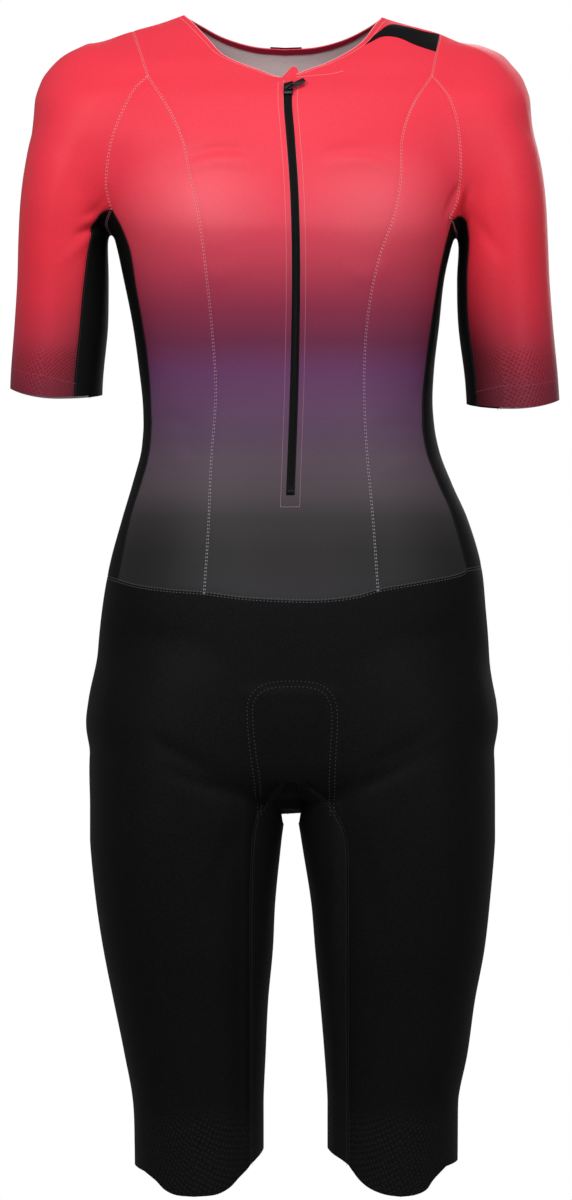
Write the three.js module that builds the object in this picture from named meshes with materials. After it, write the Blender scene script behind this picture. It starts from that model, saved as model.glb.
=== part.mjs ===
// A sleeved triathlon suit with a front zip, filled out on a general figure and hollow inside.
// Millimetres, +Z up. The front faces -Y and +X is the wearer's left. The origin lies between
// the two shoulder seams, where the wearer's shoulders carry the suit.
import * as THREE from 'three';

// Driving dimensions
const cloth = 1.2;          // wall of every knitted panel
const seamGap = 0.4;        // clear gap between two panels at a seam
const layGap = 0.3;         // gap under a piece that lies on a panel
const trimGap = 1.2;        // the same where the panel's cells are strongly turned
const slotHalf = 4.3;       // half the width of the slot that the zip fills
const coilWidth = 3.4;
const coilHeight = 1.1;
const gussetBulge = 9;      // how far the gusset's sides swell outwards under the crotch
const armpitBulge = 10;     // how far the armpit seam swells outwards
const underarmInset = 0.65;   // the sharply turned underarm panel is cut back this far at its seams
const bindingWidth = 6;
const bindingWall = 1;
const bindingStart = 0.45;   // share of the first neck edge that the binding leaves free
const trimWall = 0.9;       // wall of the strips and tabs that lie on a panel
const footTrim = 0.25;      // share of a row by which the chain starts above the slot's foot
const headTrim = 0.6;       // share of a row at which the chain ends under the slider
const sliderShare = 0.55;   // place of the slider between the last two rows of the tape
const stop = { length: 3, width: 5.4, thick: 1.8 };
const slider = {
  length: 11, width: 8, thick: 2.2, archOut: 3.5, archHigh: 3.5, archWall: 1, archWide: 1.6,
};
const tabHalf = 14;
const tabShares = { low: 0.95, high: 0.08 };
const guardShare = 0.18;
const pull = {
  length: 17, width: 4.6, thick: 1, barHalf: 0.65, eyeEnd: 4.6, eyeClear: 0.5, twist: 59,
};
const stepSize = 0.05;      // step for the surface normal

// Shoulder strip: place along the shoulder in columns and depth in rows of the front panel
const strip = [
  { column: 0.4, low: 2.3, high: 0.5 }, { column: 1, low: 1.5, high: 0.2 },
  { column: 2, low: 1.3, high: 0.12 }, { column: 3, low: 1.6, high: 0.12 },
  { column: 3.85, low: 2.1, high: 0.2 },
];

// Seat pad: rows on the front and the back cloth, and rows that hang over the gusset
const pad = {
  middle: 4.7, columns: 4, thick: 5, gap: 1.2,
  front: table(['z', 'half'], [[-577, 22], [-586, 34], [-604, 37], [-636, 34], [-654, 28]]),
  under: table(['y', 'z', 'half'], [[-62, -662, 20], [-32, -664, 16], [6, -665, 16], [44, -663, 18]]),
  back: table(['z', 'half'], [[-642, 30], [-622, 40], [-600, 50], [-575, 44], [-562, 26]]),
};

// Columns and rows of cells in each panel
const cells = {
  centre: 4, side: 5, flank: 4, nape: 3, torso: 15, yoke: 5, armholeBack: 8,
  sleeve: 12, rise: 8, leg: 13, gusset: 5,
};

function table(columns, rows) {
  return rows.map((row) => Object.fromEntries(columns.map((name, i) => [name, row[i]])));
}

const sections = ['z', 'left', 'right', 'front', 'back', 'round'];

// Level sections of the body of the suit, from the crotch up to the neck
const trunk = table(sections, [
  [-684, -6, 14, -30, 34, 2],
  [-676, -42, 52, -63, 68, 2],
  [-660, -98, 108, -84, 93, 2.1],
  [-625, -156, 166, -96, 112, 2.2],
  [-590, -168, 179, -101, 121, 2.3],
  [-550, -166, 179, -102, 122, 2.35],
  [-510, -162, 176, -101, 113, 2.4],
  [-470, -155, 171.5, -98, 101, 2.4],
  [-430, -144, 159.5, -95, 88, 2.35],
  [-400, -135, 146, -93, 80, 2.3],
  [-370, -127, 134.5, -92, 75, 2.25],
  [-335, -125.5, 129, -92, 74, 2.25],
  [-300, -129, 130, -95, 78, 2.3],
  [-260, -134.6, 134.6, -103, 86, 2.35],
  [-220, -142.6, 139, -112, 94, 2.4],
  [-185, -150.5, 147, -116, 98, 2.45],
  [-172, -156, 151, -115, 99, 2.45],
  [-150, -166, 160, -110, 99, 2.4],
  [-120, -182, 177, -101, 97, 2.3],
  [-90, -200, 194, -90, 91, 2.25],
  [-62, -213, 207, -76, 82, 2.15],
  [-44, -212, 206, -63, 73, 2.05],
  [-30, -203, 197, -53, 65, 2.05],
  [-20, -190, 186, -43, 58, 2.05],
  [-9, -160, 155, -33, 47, 2.05],
  [0, -137, 131, -24, 36, 2.05],
  [8, -107, 96, -14, 22, 2.05],
  [15, -88, 79, -6, 10, 2],
]);

const arms = {
  right: table(sections, [
    [-345, -243, -162, -43, 46, 2.1],
    [-308, -242.5, -161, -43, 46, 2.1],
    [-260, -239, -156.5, -45, 48, 2.1],
    [-220, -236.5, -156, -48, 50, 2.1],
    [-185, -235.5, -156.5, -51, 52, 2.15],
    [-150, -233.5, -150, -56, 53, 2.2],
    [-120, -229.5, -142, -58, 53, 2.2],
    [-90, -223, -138, -55, 50, 2.1],
    [-62, -212, -140, -45, 43, 2],
    [-44, -199, -148, -26, 32, 2],
    [-32, -186, -162, -10, 18, 2],
  ]),
  left: table(sections, [
    [-350, 160, 242, -43, 46, 2.1],
    [-308, 157.5, 239.5, -43, 46, 2.1],
    [-260, 151.6, 235, -45, 48, 2.1],
    [-220, 150.5, 232, -48, 50, 2.1],
    [-185, 151.5, 230.5, -51, 52, 2.15],
    [-150, 144, 228.5, -56, 53, 2.2],
    [-120, 136, 224.5, -58, 53, 2.2],
    [-90, 132, 217, -55, 50, 2.1],
    [-62, 134, 206, -45, 43, 2],
    [-44, 142, 193, -26, 32, 2],
    [-32, 156, 180, -10, 18, 2],
  ]),
};

const legs = {
  right: table(sections, [
    [-1035, -133, -21, -52, 60, 2.1],
    [-986, -133, -21, -54, 62, 2.1],
    [-942, -134.6, -21, -58, 64, 2.1],
    [-900, -142.5, -19, -64, 68, 2.1],
    [-854, -152, -16.7, -71, 73, 2.1],
    [-810, -160.5, -12.8, -79, 79, 2.15],
    [-766, -167.2, -10.8, -86, 86, 2.15],
    [-713, -172.5, -5.2, -93, 96, 2.2],
    [-682, -172.5, -1, -96, 103, 2.2],
    [-642, -173, 0, -97, 108, 2.2],
    [-600, -168, -12, -92, 106, 2.2],
    [-560, -145, -25, -80, 92, 2.1],
    [-520, -110, -40, -50, 60, 2],
  ]),
  left: table(sections, [
    [-1035, 37.8, 151, -52, 60, 2.1],
    [-986, 37.8, 151, -54, 62, 2.1],
    [-942, 37.8, 151.4, -58, 64, 2.1],
    [-900, 35, 160, -64, 68, 2.1],
    [-854, 31, 166.5, -71, 73, 2.1],
    [-810, 27, 174.5, -79, 79, 2.15],
    [-766, 23.4, 179.5, -86, 86, 2.15],
    [-713, 14.8, 184, -93, 96, 2.2],
    [-682, 10, 184, -96, 103, 2.2],
    [-642, 9, 183.5, -97, 108, 2.2],
    [-600, 21, 179, -92, 106, 2.2],
    [-560, 34, 157, -80, 92, 2.1],
    [-520, 50, 122, -50, 60, 2],
  ]),
};

// How far the surfaces run into each other where an arm or a leg joins the body
const blends = table(['z', 'arm', 'leg'], [
  [-740, 8, 10],
  [-700, 8, 13],
  [-650, 8, 32],
  [-200, 8, 30],
  [-180, 9, 30],
  [-150, 26, 30],
  [-60, 34, 30],
]);

// Seam lines as seen from the front or the back, each from its lower end up
const lines = {
  zip: table(['x', 'z'], [
    [3.4, -503], [2.6, -467], [3.9, -409], [5.6, -363], [7.3, -311], [8.6, -232], [8.4, -192],
    [6.9, -145], [3.5, -96], [1.5, -70], [2.2, -47],
  ]),
  princessRight: table(['x', 'z'], [
    [-70.8, -495.6], [-67.4, -444], [-64.9, -384], [-60.8, -320], [-64, -268], [-68.2, -225],
    [-74.9, -173], [-83.6, -131], [-89, -106], [-100.5, -78], [-120.3, -45.5],
  ]),
  princessLeft: table(['x', 'z'], [
    [79.5, -493.4], [75.2, -431], [69.2, -361], [67.7, -304], [70.8, -256], [79.7, -209],
    [92.3, -173], [98.6, -144], [101, -100], [110.2, -72], [127.3, -44.6],
  ]),
  flankFrontRight: table(['x', 'z'], [
    [-146.9, -484.7], [-135.3, -427], [-125.8, -397], [-119.8, -376], [-118.1, -335],
    [-121.5, -286], [-130.9, -228], [-135.9, -197], [-143, -178], [-152, -161],
  ]),
  flankFrontLeft: table(['x', 'z'], [
    [157.9, -475.4], [143.2, -423], [132.8, -400], [122.4, -372], [119, -335], [122.4, -293],
    [131.4, -231], [137, -200], [140.4, -185], [142.4, -169],
  ]),
  flankBackRight: table(['x', 'z'], [
    [-139, -481], [-113, -397], [-107, -335], [-112, -286], [-122, -228], [-131, -190], [-141, -160],
  ]),
  flankBackLeft: table(['x', 'z'], [
    [149, -475], [121, -397], [109, -335], [113, -286], [122, -231], [128, -192], [134, -162],
  ]),
  backRight: table(['x', 'z'], [[-62, -493], [-52, -335], [-68, -170], [-84, -60], [-89.8, 13]]),
  backLeft: table(['x', 'z'], [[70, -492], [58, -335], [70, -170], [80, -60], [84.5, 11]]),
  backCentre: table(['x', 'z'], [[4, -496], [4, -335], [2, -170], [0, -60], [-1, -12]]),
  armholeFrontRight: table(['x', 'z'], [
    [-152, -161], [-156.4, -145], [-156, -130], [-152, -104], [-142.9, -79], [-131, -56],
    [-120.3, -45.5],
  ]),
  armholeFrontLeft: table(['x', 'z'], [
    [142.4, -169], [149.6, -150], [152, -127], [150.8, -101], [147.3, -79], [140, -61],
    [127.3, -44.6],
  ]),
  armholeTopRight: table(['x', 'z'], [[-120.3, -45.5], [-127, -24], [-134.5, -1.4]]),
  armholeTopLeft: table(['x', 'z'], [[127.3, -44.6], [132, -22], [136, -4]]),
  armholeBackRight: table(['x', 'z'], [
    [-141, -160], [-145, -130], [-141, -95], [-136, -60], [-134, -25], [-134.5, -1.4],
  ]),
  armholeBackLeft: table(['x', 'z'], [
    [134, -162], [141, -130], [139, -95], [136, -60], [135, -25], [136, -4],
  ]),
  shoulderRight: table(['x', 'z'], [[-134.5, -1.4], [-112, 5], [-89.8, 13]]),
  shoulderLeft: table(['x', 'z'], [[136, -4], [112, 2.5], [84.5, 11]]),
  neckRight: table(['x', 'z'], [
    [-2.1, -47.9], [-10.4, -46.1], [-23.5, -40.6], [-40.1, -34], [-55.8, -25.3], [-67.3, -12],
    [-84.3, 7.8], [-89.8, 13],
  ]),
  neckLeft: table(['x', 'z'], [
    [6.5, -45.5], [11.7, -43.5], [20.9, -39.7], [34.5, -34.5], [54.1, -23.5], [67.4, -12.6],
    [79, 4], [84.5, 11],
  ]),
  napeRight: table(['x', 'z'], [[-1, -12], [-28, -10], [-55, -3], [-75, 6], [-89.8, 13]]),
  napeLeft: table(['x', 'z'], [[-1, -12], [26, -10.5], [50, -5], [71.6, 4], [84.5, 11]]),
  legFrontRight: table(['x', 'z'], [
    [-70.8, -495.6], [-77, -560], [-84, -640], [-86, -700], [-86, -800], [-84, -900], [-80, -1021.5],
  ]),
  legFrontLeft: table(['x', 'z'], [
    [79.5, -493.4], [90, -560], [98, -640], [101, -700], [101, -800], [101, -900], [100, -1021.5],
  ]),
  legOuterRight: table(['x', 'z'], [
    [-146.9, -484.7], [-155, -560], [-159, -640], [-157, -713], [-150, -800], [-133, -900],
    [-124, -960], [-124, -1001.5],
  ]),
  legOuterLeft: table(['x', 'z'], [
    [157.9, -475.4], [166, -560], [170, -640], [168, -713], [162, -800], [150, -900],
    [142, -960], [140, -997],
  ]),
  sideSeamRight: table(['x', 'z'], [
    [-139, -481], [-147, -560], [-151, -640], [-149, -713], [-143, -800], [-126, -900],
    [-117, -960], [-117, -1000],
  ]),
  sideSeamLeft: table(['x', 'z'], [
    [149, -475], [157, -560], [161, -640], [159, -713], [154, -800], [143, -900], [135, -960],
    [135, -997],
  ]),
  innerFrontRight: table(['x', 'z'], [
    [-0.9, -664], [-12.5, -675], [-23.5, -685], [-27.8, -701], [-30, -722], [-31.3, -762],
    [-31.4, -850], [-31.4, -995],
  ]),
  innerFrontLeft: table(['x', 'z'], [
    [7.7, -664], [30.5, -671.5], [39.1, -680], [46, -693], [51.2, -708], [53, -762],
    [53.1, -850], [54.1, -995],
  ]),
  hemFrontRight: table(['x', 'z'], [
    [-31.4, -995], [-36.5, -1001], [-42, -1007], [-49, -1014], [-60, -1019.5], [-80, -1021.5],
  ]),
  hemFrontLeft: table(['x', 'z'], [
    [54.1, -995], [58, -1000], [64, -1007.5], [73, -1014.5], [86, -1019.5], [100, -1021.5],
  ]),
  hemSideRight: table(['x', 'z'], [
    [-80, -1021.5], [-97, -1020], [-106, -1016], [-114, -1008.5], [-124, -1001.5],
  ]),
  hemSideLeft: table(['x', 'z'], [
    [100, -1021.5], [113, -1020], [122.5, -1016], [129, -1007.5], [140, -997],
  ]),
  innerBackRight: table(['x', 'z'], [
    [-3.4, -655], [-20, -672], [-34, -690], [-42, -715], [-44, -762], [-42, -850], [-38, -987],
  ]),
  innerBackLeft: table(['x', 'z'], [
    [5.2, -655], [24, -672], [40, -690], [50, -715], [55, -762], [56, -850], [55, -987],
  ]),
  seatRight: table(['x', 'z'], [
    [-62, -493], [-80, -560], [-90, -640], [-94, -713], [-94, -800], [-90, -900], [-84, -1014],
  ]),
  seatLeft: table(['x', 'z'], [
    [70, -492], [90, -560], [102, -640], [106, -713], [106, -800], [104, -900], [98, -1014],
  ]),
};

// Waist seam, the dipped hems of the legs and the sleeves' hems, by place across
const waist = table(['x', 'front', 'back'], [
  [-160, -478.7, -478.7], [-146.9, -484.7, -480], [-126.3, -490.1, -484], [-100.4, -493.4, -489],
  [-71.7, -495.6, -492.5], [-37, -500, -495], [12, -502.5, -496], [34.5, -502, -495],
  [61, -498.7, -493], [79.5, -493.4, -491], [116, -486.9, -486], [148, -480.7, -475.5],
  [161.6, -475.4, -472], [174, -470.8, -470.8],
]);
const sleeveHems = {
  right: { front: -324.5, back: -323, outer: -315.6, inner: -321 },
  left: { front: -334, back: -332, outer: -325.6, inner: -329 },
};
const underarm = {
  right: { front: -67, back: 50 },
  left: { front: -40, back: 76 },
};

// Smooth value of every column of a table at a height or a place across
function sampleTable(rows, key, at) {
  const last = rows.length - 1;
  const rising = rows[last][key] > rows[0][key];
  let i = 0;
  while (i < last - 1 && (rising ? at > rows[i + 1][key] : at < rows[i + 1][key])) i += 1;
  const a = rows[i];
  const b = rows[i + 1];
  const before = rows[Math.max(i - 1, 0)];
  const after = rows[Math.min(i + 2, last)];
  const span = b[key] - a[key];
  const t = Math.min(Math.max((at - a[key]) / span, 0), 1);
  const out = {};
  for (const name of Object.keys(a)) {
    const slope = (b[name] - a[name]) / span;
    const left = i > 0 ? (b[name] - before[name]) / (b[key] - before[key]) : slope;
    const right = i < last - 1 ? (after[name] - a[name]) / (after[key] - a[key]) : slope;
    const m0 = limitSlope(left, slope) * span;
    const m1 = limitSlope(right, slope) * span;
    const t2 = t * t;
    const t3 = t2 * t;
    out[name] = (2 * t3 - 3 * t2 + 1) * a[name] + (t3 - 2 * t2 + t) * m0
      + (3 * t2 - 2 * t3) * b[name] + (t3 - t2) * m1;
  }
  return out;
}

function limitSlope(slope, chord) {
  const most = 3 * Math.abs(chord);
  return Math.sign(slope) * Math.min(Math.abs(slope), Math.max(most, 1e-9));
}

// Distance out from one tube of level sections, measured along the ray from its middle
function tubeDistance(rows, x, y, z) {
  const s = sampleTable(rows, 'z', z);
  const midX = (s.left + s.right) / 2;
  const halfX = (s.right - s.left) / 2;
  const midY = (s.front + s.back) / 2;
  const halfY = (s.back - s.front) / 2;
  const dx = Math.abs(x - midX);
  const dy = Math.abs(y - midY);
  const reach = Math.max(Math.hypot(dx, dy), 1e-6);
  const ratio = Math.pow(Math.pow(dx / halfX, s.round) + Math.pow(dy / halfY, s.round), 1 / s.round);
  const low = Math.min(rows[0].z, rows[rows.length - 1].z);
  const high = Math.max(rows[0].z, rows[rows.length - 1].z);
  return reach * (1 - 1 / Math.max(ratio, 1e-4)) + Math.max(0, low - z) + Math.max(0, z - high);
}

function blendNear(a, b, width) {
  const h = Math.max(width - Math.abs(a - b), 0) / width;
  return Math.min(a, b) - h * h * width / 4;
}

// Below zero inside the figure that fills the suit out
function figure(p) {
  const mix = sampleTable(blends, 'z', p.z);
  const side = p.x < 4 ? 'right' : 'left';
  let d = tubeDistance(trunk, p.x, p.y, p.z);
  if (p.z > -420) {
    d = blendNear(d, tubeDistance(arms[side], p.x, p.y, p.z), mix.arm);
  } else {
    const right = tubeDistance(legs.right, p.x, p.y, p.z);
    const left = tubeDistance(legs.left, p.x, p.y, p.z);
    d = blendNear(d, blendNear(right, left, mix.leg), mix.leg);
  }
  return d;
}

function slopeAt(p) {
  const out = new THREE.Vector3();
  for (const axis of ['x', 'y', 'z']) {
    const a = p.clone();
    const b = p.clone();
    a[axis] += stepSize;
    b[axis] -= stepSize;
    out[axis] = (figure(a) - figure(b)) / (2 * stepSize);
  }
  return out;
}

function normalAt(p) {
  return slopeAt(p).normalize();
}

// Nearest surface point along the slope
function toSurface(start) {
  const p = start.clone();
  for (let i = 0; i < 14; i += 1) {
    const slope = slopeAt(p);
    const size = Math.max(slope.lengthSq(), 0.05);
    const move = slope.multiplyScalar(-figure(p) / size);
    p.add(move.clampLength(0, 12));
  }
  return p;
}

// First surface point met from outside, looking along Y
function seenFrom(side, x, z) {
  const out = side === 'front' ? -1 : 1;
  const p = new THREE.Vector3(x, 190 * out, z);
  let best = p.clone();
  let least = Infinity;
  for (let y = 190; y > -30; y -= 3) {
    p.y = y * out;
    const d = figure(p);
    if (d <= 0) {
      let a = y;
      let b = y + 3;
      for (let i = 0; i < 26; i += 1) {
        const mid = (a + b) / 2;
        p.y = mid * out;
        if (figure(p) <= 0) a = mid;
        else b = mid;
      }
      return p;
    }
    if (d < least) {
      least = d;
      best = p.clone();
    }
  }
  return toSurface(best);
}

// First surface point met from inside
function rayOut(origin, direction) {
  const p = origin.clone();
  let far = 0;
  while (figure(p) < 0 && far < 400) {
    far += 4;
    p.copy(origin).addScaledVector(direction, far);
  }
  let near = far - 4;
  for (let i = 0; i < 26; i += 1) {
    const mid = (near + far) / 2;
    p.copy(origin).addScaledVector(direction, mid);
    if (figure(p) < 0) near = mid;
    else far = mid;
  }
  return p;
}

// Evenly spaced points along a table of x and z
function alongLine(rows, count) {
  const points = rows.map((row) => new THREE.Vector3(row.x, 0, row.z));
  return new THREE.CatmullRomCurve3(points, false, 'centripetal').getSpacedPoints(count);
}

// A seam line laid on the figure
function seam(name, side, count) {
  return alongLine(lines[name], count).map((p) => seenFrom(side, p.x, p.z));
}

function reversed(points) {
  return [...points].reverse();
}

// Points along the waist seam between two places across
function waistRun(side, from, to, count) {
  const out = [];
  for (let i = 0; i <= count; i += 1) {
    const x = THREE.MathUtils.lerp(from.x, to.x, i / count);
    const z = sampleTable(waist, 'x', x)[side];
    out.push(i === 0 ? from : i === count ? to : seenFrom(side, x, z));
  }
  return out;
}

function levelRun(from, to, count, lift = 0, aside = 0) {
  const out = [];
  for (let i = 0; i <= count; i += 1) {
    const t = i / count;
    const p = from.clone().lerp(to, t);
    p.z += lift * Math.sin(Math.PI * t);
    p.x += aside * Math.sin(Math.PI * t);
    out.push(i === 0 ? from : i === count ? to : toSurface(p));
  }
  return out;
}

// A four-sided patch filled in between its edges and laid on the figure.
// left and right run up, low and high run from left to right.
function patch(left, right, low, high) {
  const rows = left.length - 1;
  const columns = low.length - 1;
  const grid = [];
  for (let j = 0; j <= rows; j += 1) {
    const v = j / rows;
    const row = [];
    for (let i = 0; i <= columns; i += 1) {
      const u = i / columns;
      if (i === 0) row.push(left[j]);
      else if (i === columns) row.push(right[j]);
      else if (j === 0) row.push(low[i]);
      else if (j === rows) row.push(high[i]);
      else {
        const p = new THREE.Vector3();
        p.addScaledVector(left[j], 1 - u).addScaledVector(right[j], u);
        p.addScaledVector(low[i], 1 - v).addScaledVector(high[i], v);
        p.addScaledVector(left[0], -(1 - u) * (1 - v)).addScaledVector(right[0], -u * (1 - v));
        p.addScaledVector(left[rows], -(1 - u) * v).addScaledVector(right[rows], -u * v);
        row.push(toSurface(p));
      }
    }
    grid.push(row);
  }
  return grid;
}

// Above zero where a ring of four points runs round the outward normal
function facing(ring) {
  const across = ring[2].clone().sub(ring[0]);
  const up = ring[3].clone().sub(ring[1]);
  return across.cross(up).dot(normalAt(ring[0]));
}

// A closed wall on one or more grids of points that share edges.
// outer and inner are heights above the figure; the rim is pulled in for the seam.
function wall(grids, outer, inner, inset = seamGap / 2) {
  const keys = new Map();
  const points = [];
  const faces = [];
  const indexOf = (p) => {
    const key = [p.x, p.y, p.z].map((v) => Math.round(v * 200)).join();
    if (!keys.has(key)) {
      keys.set(key, points.length);
      points.push(p);
    }
    return keys.get(key);
  };
  for (const grid of grids) {
    const rings = [];
    for (let j = 0; j + 1 < grid.length; j += 1) {
      for (let i = 0; i + 1 < grid[j].length; i += 1) {
        rings.push([grid[j][i], grid[j][i + 1], grid[j + 1][i + 1], grid[j + 1][i]]);
      }
    }
    const outward = rings.reduce((sum, ring) => sum + facing(ring), 0) > 0;
    for (const ring of rings) {
      const ids = ring.map(indexOf);
      const clean = ids.filter((id, k) => id !== ids[(k + 1) % ids.length]);
      if (clean.length > 2) faces.push(outward ? clean : clean.reverse());
    }
  }
  const normals = points.map(normalAt);
  const rim = rimEdges(faces);
  const pulls = points.map(() => []);
  for (const [a, b] of rim) {
    for (const k of [a, b]) {
      const along = points[b].clone().sub(points[a]).normalize();
      pulls[k].push(normals[k].clone().cross(along).normalize());
    }
  }
  const placed = points.map((p, k) => {
    if (!pulls[k].length) return p.clone();
    const sum = pulls[k].reduce((total, n) => total.add(n), new THREE.Vector3());
    const share = Math.max(sum.dot(pulls[k][0]), 0.4);
    return p.clone().addScaledVector(sum, inset / share);
  });
  const lift = (k, height) => placed[k].clone().addScaledVector(normals[k], height);
  const top = points.map((_, k) => lift(k, typeof outer === 'function' ? outer(points[k]) : outer));
  const under = points.map((_, k) => lift(k, inner));
  const mesh = [];
  for (const face of faces) {
    for (let i = 1; i + 1 < face.length; i += 1) {
      mesh.push(top[face[0]], top[face[i]], top[face[i + 1]]);
      mesh.push(under[face[0]], under[face[i + 1]], under[face[i]]);
    }
  }
  for (const [a, b] of rim) {
    mesh.push(top[b], top[a], under[a], top[b], under[a], under[b]);
  }
  return solid(mesh);
}

function rimEdges(faces) {
  const seen = new Map();
  for (const face of faces) {
    face.forEach((a, i) => seen.set(`${a},${face[(i + 1) % face.length]}`, [a, face[(i + 1) % face.length]]));
  }
  return [...seen.values()].filter(([a, b]) => !seen.has(`${b},${a}`));
}

function solid(corners) {
  const geometry = new THREE.BufferGeometry();
  geometry.setFromPoints(corners);
  geometry.computeVertexNormals();
  return geometry;
}

// Materials by the piece's cloth or making
const materials = {
  redKnit: new THREE.MeshStandardMaterial({ color: '#f3475b', roughness: 0.55, metalness: 0 }),
  blackKnit: new THREE.MeshStandardMaterial({ color: '#121114', roughness: 0.6, metalness: 0 }),
  binding: new THREE.MeshStandardMaterial({ color: '#a81f3a', roughness: 0.6, metalness: 0 }),
  coil: new THREE.MeshStandardMaterial({ color: '#18171a', roughness: 0.4, metalness: 0 }),
  slider: new THREE.MeshStandardMaterial({ color: '#2a2a2d', roughness: 0.3, metalness: 0.6 }),
  foam: new THREE.MeshStandardMaterial({ color: '#2b2a2d', roughness: 0.8, metalness: 0 }),
};
const group = new THREE.Group();

function add(name, material, geometry, parent = group) {
  const mesh = new THREE.Mesh(geometry, materials[material]);
  mesh.name = name;
  parent.add(mesh);
  return mesh;
}

// Zip line: the two edges of the slot, up to the neckline
const footRow = 3;

function slotEdge(shift, top) {
  const rows = lines.zip.map((row) => ({ x: row.x + shift, z: row.z }));
  rows[rows.length - 1] = { x: top.x, z: top.z };
  rows[0].z = sampleTable(waist, 'x', rows[0].x).front;
  return alongLine(rows, cells.torso).map((p) => seenFrom('front', p.x, p.z));
}

const slot = {
  right: slotEdge(-slotHalf, lines.neckRight[0]),
  left: slotEdge(slotHalf, lines.neckLeft[0]),
};

// Everything that comes once on each side of the suit
function sideOf(name) {
  const Name = name === 'right' ? 'Right' : 'Left';
  const line = (stem, from, count) => seam(stem + Name, from, count);
  const s = { slot: slot[name] };
  s.neck = line('neck', 'front', cells.yoke);
  s.neck[0] = s.slot[cells.torso];
  s.princess = line('princess', 'front', cells.torso);
  s.armholeTop = line('armholeTop', 'front', cells.yoke);
  s.armholeTop[0] = s.princess[cells.torso];
  s.shoulder = line('shoulder', 'front', cells.centre);
  s.shoulder[0] = s.armholeTop[cells.yoke];
  s.shoulder[cells.centre] = s.neck[cells.yoke];
  s.flankFront = line('flankFront', 'front', cells.torso);
  s.armholeFront = line('armholeFront', 'front', cells.side);
  s.armholeFront[0] = s.flankFront[cells.torso];
  s.armholeFront[cells.side] = s.princess[cells.torso];
  s.flankBack = line('flankBack', 'back', cells.torso);
  s.armholeBack = line('armholeBack', 'back', cells.armholeBack);
  s.armholeBack[0] = s.flankBack[cells.torso];
  s.armholeBack[cells.armholeBack] = s.shoulder[0];
  s.blade = line('back', 'back', cells.torso + cells.armholeBack);
  s.blade[s.blade.length - 1] = s.shoulder[cells.centre];
  s.nape = line('nape', 'back', cells.nape);
  s.nape[cells.nape] = s.shoulder[cells.centre];
  const aside = name === 'right' ? -armpitBulge : armpitBulge;
  s.armpit = levelRun(s.flankFront[cells.torso], s.flankBack[cells.torso], cells.flank, -14, aside);
  s.waist = {
    centre: waistRun('front', s.slot[0], s.princess[0], cells.centre),
    side: waistRun('front', s.princess[0], s.flankFront[0], cells.side),
    flank: levelRun(s.flankFront[0], s.flankBack[0], cells.flank),
    blade: waistRun('back', s.flankBack[0], s.blade[0], cells.centre),
  };
  return s;
}

const sides = { right: sideOf('right'), left: sideOf('left') };
const backCentre = seam('backCentre', 'back', cells.torso + cells.armholeBack);
for (const side of Object.values(sides)) {
  side.nape[0] = backCentre[backCentre.length - 1];
  side.waist.nape = waistRun('back', side.blade[0], backCentre[0], cells.nape);
}

// Top: one front with a slit, two side fronts, two flanks and one back
function frontHalf(s) {
  const inner = [...s.slot, ...s.neck.slice(1)];
  const outer = [...s.princess, ...s.armholeTop.slice(1)];
  s.front = patch(inner, outer, s.waist.centre, reversed(s.shoulder));
  return s.front;
}
const underSlot = slot.right.slice(0, footRow + 1).map((p, j) => [p, slot.left[j]]);
const frontGrids = [frontHalf(sides.right), frontHalf(sides.left), underSlot];
add('front_centre', 'redKnit', wall(frontGrids, 0, -cloth));

for (const [name, s] of Object.entries(sides)) {
  s.frontSide = patch(s.princess, s.flankFront, s.waist.side, reversed(s.armholeFront));
  add(`front_side_${name}`, 'redKnit', wall([s.frontSide], 0, -cloth));
  s.flank = patch(s.flankFront, s.flankBack, s.waist.flank, s.armpit);
  add(`side_panel_${name}`, 'blackKnit', wall([s.flank], 0, -cloth));
  const outer = [...s.flankBack, ...s.armholeBack.slice(1)];
  s.backOuter = patch(outer, s.blade, s.waist.blade, s.shoulder);
  s.backInner = patch(s.blade, backCentre, s.waist.nape, reversed(s.nape));
}
const backGrids = Object.values(sides).flatMap((s) => [s.backOuter, s.backInner]);
add('back_panel', 'redKnit', wall(backGrids, 0, -cloth));

// Sleeve: every column runs from a point of the armhole over the arm to the hem
function turnBetween(from, to, t) {
  const angle = from.angleTo(to);
  if (angle < 1e-4) return to.clone();
  const a = from.clone().multiplyScalar(Math.sin((1 - t) * angle));
  return a.addScaledVector(to, Math.sin(t * angle)).normalize();
}

function sleeveColumn(name, start, bearing) {
  const inward = name === 'right' ? 1 : -1;
  const radians = THREE.MathUtils.degToRad(bearing);
  const level = new THREE.Vector3(inward * Math.cos(radians), Math.sin(radians), 0);
  const hem = sleeveHems[name];
  const across = Math.cos(radians);
  const hemSide = Math.sin(radians) < 0 ? hem.front : hem.back;
  const hemEdge = across > 0 ? hem.inner : hem.outer;
  const low = THREE.MathUtils.lerp(hemSide, hemEdge, across * across);
  const capMiddle = -62;
  const descent = 2;
  const quickTurn = 1.25;
  const firstStep = 0.4;
  const high = Math.min(start.z, capMiddle);
  const axis = (z) => {
    const s = sampleTable(arms[name], 'z', Math.min(z, capMiddle - 20));
    return new THREE.Vector3((s.left + s.right) / 2, (s.front + s.back) / 2, z);
  };
  const direction = start.clone().sub(axis(high)).normalize();
  const column = [];
  for (let k = 0; k <= cells.sleeve; k += 1) {
    const t = k / cells.sleeve;
    const turned = Math.sin(Math.min(1, t * quickTurn) * Math.PI / 2);
    const heading = turnBetween(direction, level, turned);
    const origin = axis(THREE.MathUtils.lerp(high, low, Math.pow(t, descent)));
    column.push(k === 0 ? start : rayOut(origin, heading));
  }
  column[1] = toSurface(start.clone().lerp(column[2], firstStep));
  return reversed(column);
}

function transposed(columns) {
  return columns[0].map((_, j) => columns.map((column) => column[j]));
}

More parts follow.
